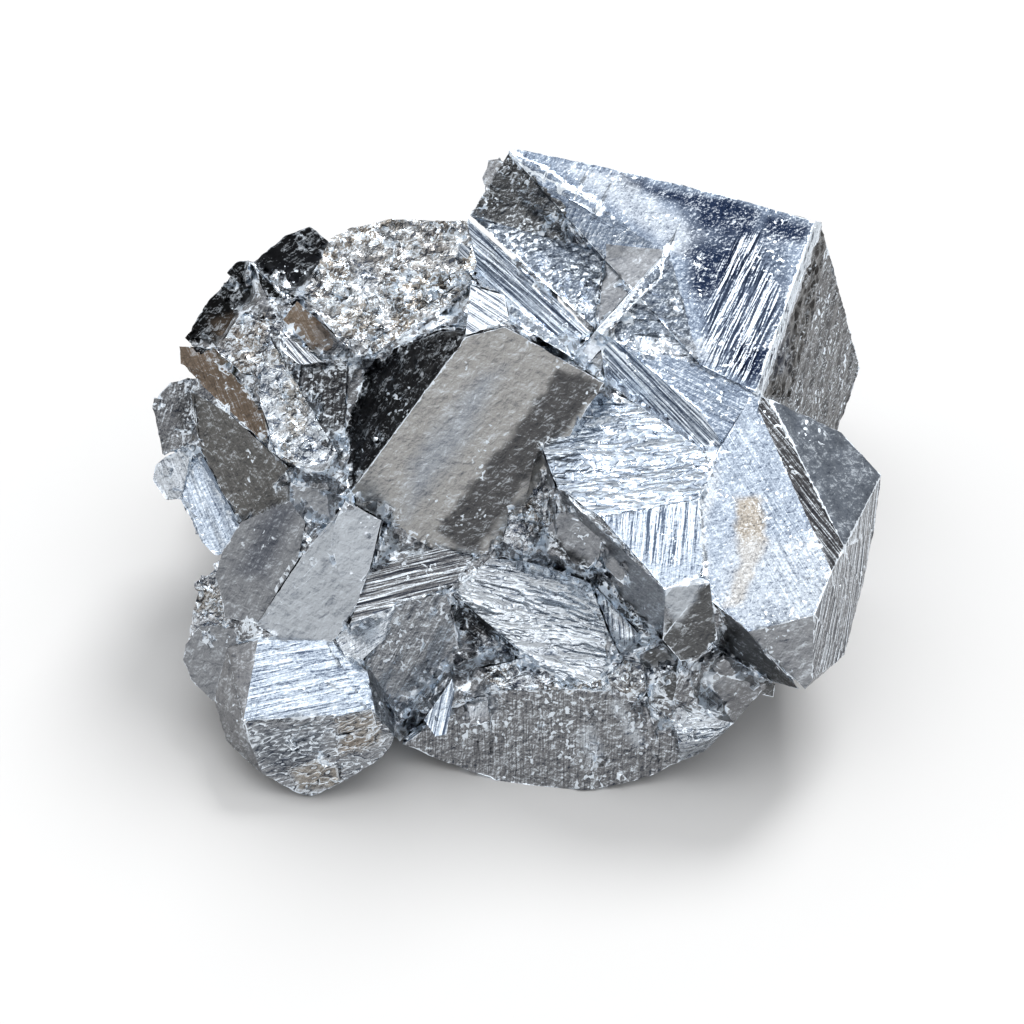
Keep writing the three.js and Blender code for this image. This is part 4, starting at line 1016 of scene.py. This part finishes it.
def mineral(name, roughness, metallic, line=(8.0, 0.6), lines=0.0, grain=0.7, grains=0.5, mottle=0.3,
            specks=0.3, stain=0.0, edges=0.7, terraces=0.0, bump=0.1):
    """A metallic mineral surface. `line` is the length and pitch of its lines, `grain` the width of its
    grains and `bump` how deep they are, in millimetres. From 0 to about 1: how strongly `lines`, `grains`,
    blotches (`mottle`), painted glints (`specks`), painted highlights on worn `edges` and ledges (`terraces`)
    show, and how brown a `stain` is. Lines, grains and ledges show with painted lit and shaded sides."""
    material = bpy.data.materials.new(name)
    material.use_nodes = True
    tree = material.node_tree
    tree.nodes.clear()
    shade = add(tree, "ShaderNodeAttribute", {"attribute_name": "shade"}).outputs
    rims = add(tree, "ShaderNodeAttribute", {"attribute_name": "rim"}).outputs
    place = add(tree, "ShaderNodeTexCoord").outputs["Object"]

    # the difference of a pattern at its two places is its lit side
    steps = growth_steps(tree, line)
    step_lit = total(tree, -0.75, [(steps[0], 1.5 + CONTRAST), (steps[1], -CONTRAST)])
    step_lit = times(tree, step_lit, shade["Alpha"])
    grain_at = broken_grains(tree, place, grain)
    grain_lit = total(tree, -0.5, [(grain_at[0], 1.0 - CONTRAST), (grain_at[1], CONTRAST)])
    # ledges: a painted highlight on the lip and painted shade at the foot, where the same steps pass certain
    # heights
    many = times(tree, steps[0], LEDGES)
    saw = add(tree, "ShaderNodeMath", {"operation": "FRACT"}, _0=many).outputs["Value"]
    lip = ramp(tree, saw, 0.6, 0.95)
    foot = ramp(tree, saw, 0.0, 0.25, 1.0, 0.0)
    # blotches of a few millimetres, broken up down to a tenth of that
    blotch = pattern(tree, place, BLOTCH, 5.0, 0.65)
    painted_glint, herd = painted_glint_specks(tree, place, specks)
    # painted highlights on worn edges, broken here and there
    broken = total(tree, -0.4, [(rims["Fac"], 1.0), (ramp(tree, blotch, 0.45, 0.58), 0.4)])
    worn = ramp(tree, broken, 0.6, 0.8)

    # one level, from dark painted shade over the face's own shade to white painted highlight
    level = total(tree, 0.5 - mottle, [(step_lit, lines), (grain_lit, grains), (blotch, 2 * mottle),
                                       (painted_glint, 1.0), (worn, edges), (lip, 0.6 * terraces),
                                       (foot, -0.5 * terraces)])
    body = blend(tree, ramp(tree, level, 0.0, 0.5), tinted(tree, shade["Color"], SHADOWED), shade["Color"])
    film = ramp(tree, herd, 0.47, 0.6, 0.0, stain)
    filmed = blend(tree, film, body, tinted(tree, body, RUSTY))
    colour = blend(tree, ramp(tree, level, 0.55, 1.05), filmed, GLINT)

    height = total(tree, 0.0, [(steps[0], lines), (grain_at[0], grains), (painted_glint, 1.0),
                               (saw, -0.8 * terraces)])
    relief = add(tree, "ShaderNodeBump", Height=height, Strength=BUMP_STRENGTH, Distance=bump * MM)
    dull = ramp(tree, blotch, 0.0, 1.0, roughness - 0.06, roughness + 0.08)
    surface = add(tree, "ShaderNodeBsdfPrincipled", Base_Color=colour, Metallic=metallic, Roughness=dull,
                  Normal=relief.outputs["Normal"])
    add(tree, "ShaderNodeOutputMaterial", Surface=surface.outputs["BSDF"])
    return material


print("edges glint in", GLINT[:3])

# %% Nine finishes
finishes = {
    # fine steps of growth in one direction: silky lines, their painted lit and shaded sides bright and dark
    # side by side
    "striated": mineral("pyrite_striated_growth", 0.26, 1.0, line=(12.0, 0.6), lines=0.9, grain=0.5,
                        grains=0.25, mottle=0.3, specks=0.3, bump=0.15),
    # slow, nearly smooth growth: a mirror with a little haze and few lines
    "bright": mineral("pyrite_bright_growth", 0.26, 1.0, line=(9.0, 0.8), lines=0.3, grain=0.4, grains=0.35,
                      mottle=0.4, specks=0.3, bump=0.12),
    # growth in ledges of a few millimetres: wavy lips with a painted highlight, and dark feet with painted
    # shade
    "stepped": mineral("pyrite_stepped_growth", 0.26, 1.0, line=(7.0, 2.4), lines=0.5, grain=0.6, grains=0.35,
                       mottle=0.3, specks=0.3, terraces=0.8, bump=0.25),
    # a smooth break: an even sheen that hardly glints
    "satin": mineral("pyrite_satin_break", 0.36, 0.95, line=(7.0, 1.5), lines=0.15, grain=0.9, grains=0.35,
                     mottle=0.36, specks=0.12, bump=0.1),
    # a splintery break: short fibres along one direction, with bright painted glints
    "fibrous": mineral("pyrite_fibrous_break", 0.34, 1.0, line=(6.0, 0.6), lines=0.22, grain=0.6, grains=0.45,
                       mottle=0.42, specks=0.6, bump=0.2),
    # a rough break: dark and bright grains of half a millimetre, their shaded and lit sides painted, with
    # painted glints
    "grainy": mineral("pyrite_grainy_break", 0.32, 1.0, line=(4.0, 0.7), lines=0.1, grain=0.6, grains=0.55,
                      mottle=0.35, specks=0.8, stain=0.15, bump=0.25),
    # a crowd of tiny cubes: hard painted glints, dark pits with painted shade and brown films between them
    "crust": mineral("pyrite_cube_crust", 0.26, 1.0, lines=0.1, grain=1.0, grains=1.3, mottle=0.5, specks=1.0,
                     stain=0.7, bump=0.4),
    # tarnish: nearly black, with a dull sheen and few painted glints
    "tarnished": mineral("pyrite_black_tarnish", 0.30, 0.9, lines=0.1, grain=1.2, grains=0.4, mottle=0.3,
                         specks=0.2, edges=0.2, bump=0.15),
    # a film of iron oxide: brown, dull and even
    "stained": mineral("iron_oxide_film", 0.5, 0.7, line=(5.0, 0.8), lines=0.2, grain=0.9, grains=0.3,
                       mottle=0.25, specks=0.3, bump=0.08),
}
print("finishes:", len(finishes))

# %% The dressed stone
SMOOTH = ("striated", "bright", "fibrous", "stepped", "satin", "stained")
SHARP_FROM = math.radians(16)

order = list(finishes)
for material in finishes.values():
    mesh.materials.append(material)
mesh.polygons.foreach_set("material_index", [order.index(style) for style in styles])
mesh.polygons.foreach_set("use_smooth", [style in SMOOTH for style in styles])
mesh.update()
mesh.set_sharp_from_angle(angle=SHARP_FROM)
cluster = bpy.data.objects.new("pyrite_stone", mesh)
bpy.context.scene.collection.objects.link(cluster)
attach(cluster, "root")
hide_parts("pyrite_cluster")
print("triangles:", len(mesh.polygons))

# %% [markdown]
# ## Floor, light and camera
# The stone lies on white paper. Metal shows what stands around it, so the surroundings are nearly even: a
# pale studio, a large soft light overhead, and a high soft lamp at the back right that gives the short
# shadow towards the front left. The shades on the faces then do what a room's reflections do in the photo.

# %% Floor
FLOOR_SIZE = 3.0
PAPER = (0.64, 0.637, 0.634, 1)
floor_mesh = bpy.data.meshes.new("floor")
sheet = bmesh.new()
bmesh.ops.create_grid(sheet, x_segments=1, y_segments=1, size=FLOOR_SIZE / 2)
sheet.to_mesh(floor_mesh)
sheet.free()
floor = bpy.data.objects.new("floor", floor_mesh)
bpy.context.scene.collection.objects.link(floor)
paper = bpy.data.materials.new("white_paper")
paper.use_nodes = True
paper.node_tree.nodes["Principled BSDF"].inputs["Base Color"].default_value = PAPER
paper.node_tree.nodes["Principled BSDF"].inputs["Roughness"].default_value = 0.9
floor_mesh.materials.append(paper)
print("floor laid")

# %% Light
OVERHEAD_SIZE, OVERHEAD_POWER, OVERHEAD_PLACE = 0.8, 2.0, (0.0, 0.16, 0.56)
COOL = (0.96, 0.98, 1.0)
LAMP_POWER, LAMP_ANGLE = 2.2, math.radians(22)
LAMP_TURN = (math.radians(-42), math.radians(21), 0)
STUDIO = (0.99, 0.995, 1.0, 1)


def softbox(name, size, power, colour, at, aim=MIDDLE):
    """A square area light that faces a point."""
    light = bpy.data.lights.new(name, "AREA")
    light.shape, light.size = "SQUARE", size
    light.energy, light.color = power, colour
    lamp = bpy.data.objects.new(name, light)
    lamp.location = at
    lamp.rotation_euler = (aim - Vector(at)).to_track_quat("-Z", "Y").to_euler()
    bpy.context.scene.collection.objects.link(lamp)


softbox("overhead", OVERHEAD_SIZE, OVERHEAD_POWER, COOL, OVERHEAD_PLACE)
lamp = bpy.data.lights.new("high_lamp", "SUN")
lamp.energy, lamp.angle = LAMP_POWER, LAMP_ANGLE
high_lamp = bpy.data.objects.new("high_lamp", lamp)
high_lamp.rotation_euler = LAMP_TURN
bpy.context.scene.collection.objects.link(high_lamp)

world = bpy.data.worlds.new("studio")
world.use_nodes = True
bpy.context.scene.world = world
sky = world.node_tree
sky.nodes.clear()
towards = add(sky, "ShaderNodeTexCoord")
split = add(sky, "ShaderNodeSeparateXYZ", Vector=towards.outputs["Generated"])
rise = ramp(sky, split.outputs["Z"], -0.1, 0.9, 0.72, 0.78)
backdrop = add(sky, "ShaderNodeBackground", Color=STUDIO, Strength=rise)
add(sky, "ShaderNodeOutputWorld", Surface=backdrop.outputs["Background"])
print("lights set")

# %% Camera
SENSOR = 36
VIEW_WIDTH = 102.4
NEAREST_SHOWN, FURTHEST_SHOWN = 0.01, 10
camera = bpy.data.cameras.new("camera")
camera.sensor_width = SENSOR
camera.lens = SENSOR * DISTANCE / MM / VIEW_WIDTH
camera.clip_start, camera.clip_end = NEAREST_SHOWN, FURTHEST_SHOWN
eye = bpy.data.objects.new("camera", camera)
eye.location = EYE
eye.rotation_euler = (-TOWARDS_EYE).to_track_quat("-Z", "Y").to_euler()
bpy.context.scene.collection.objects.link(eye)
bpy.context.scene.camera = eye
bpy.context.scene.view_settings.view_transform = "Standard"
print("lens", round(camera.lens, 2))

# %% The end
stone.free()
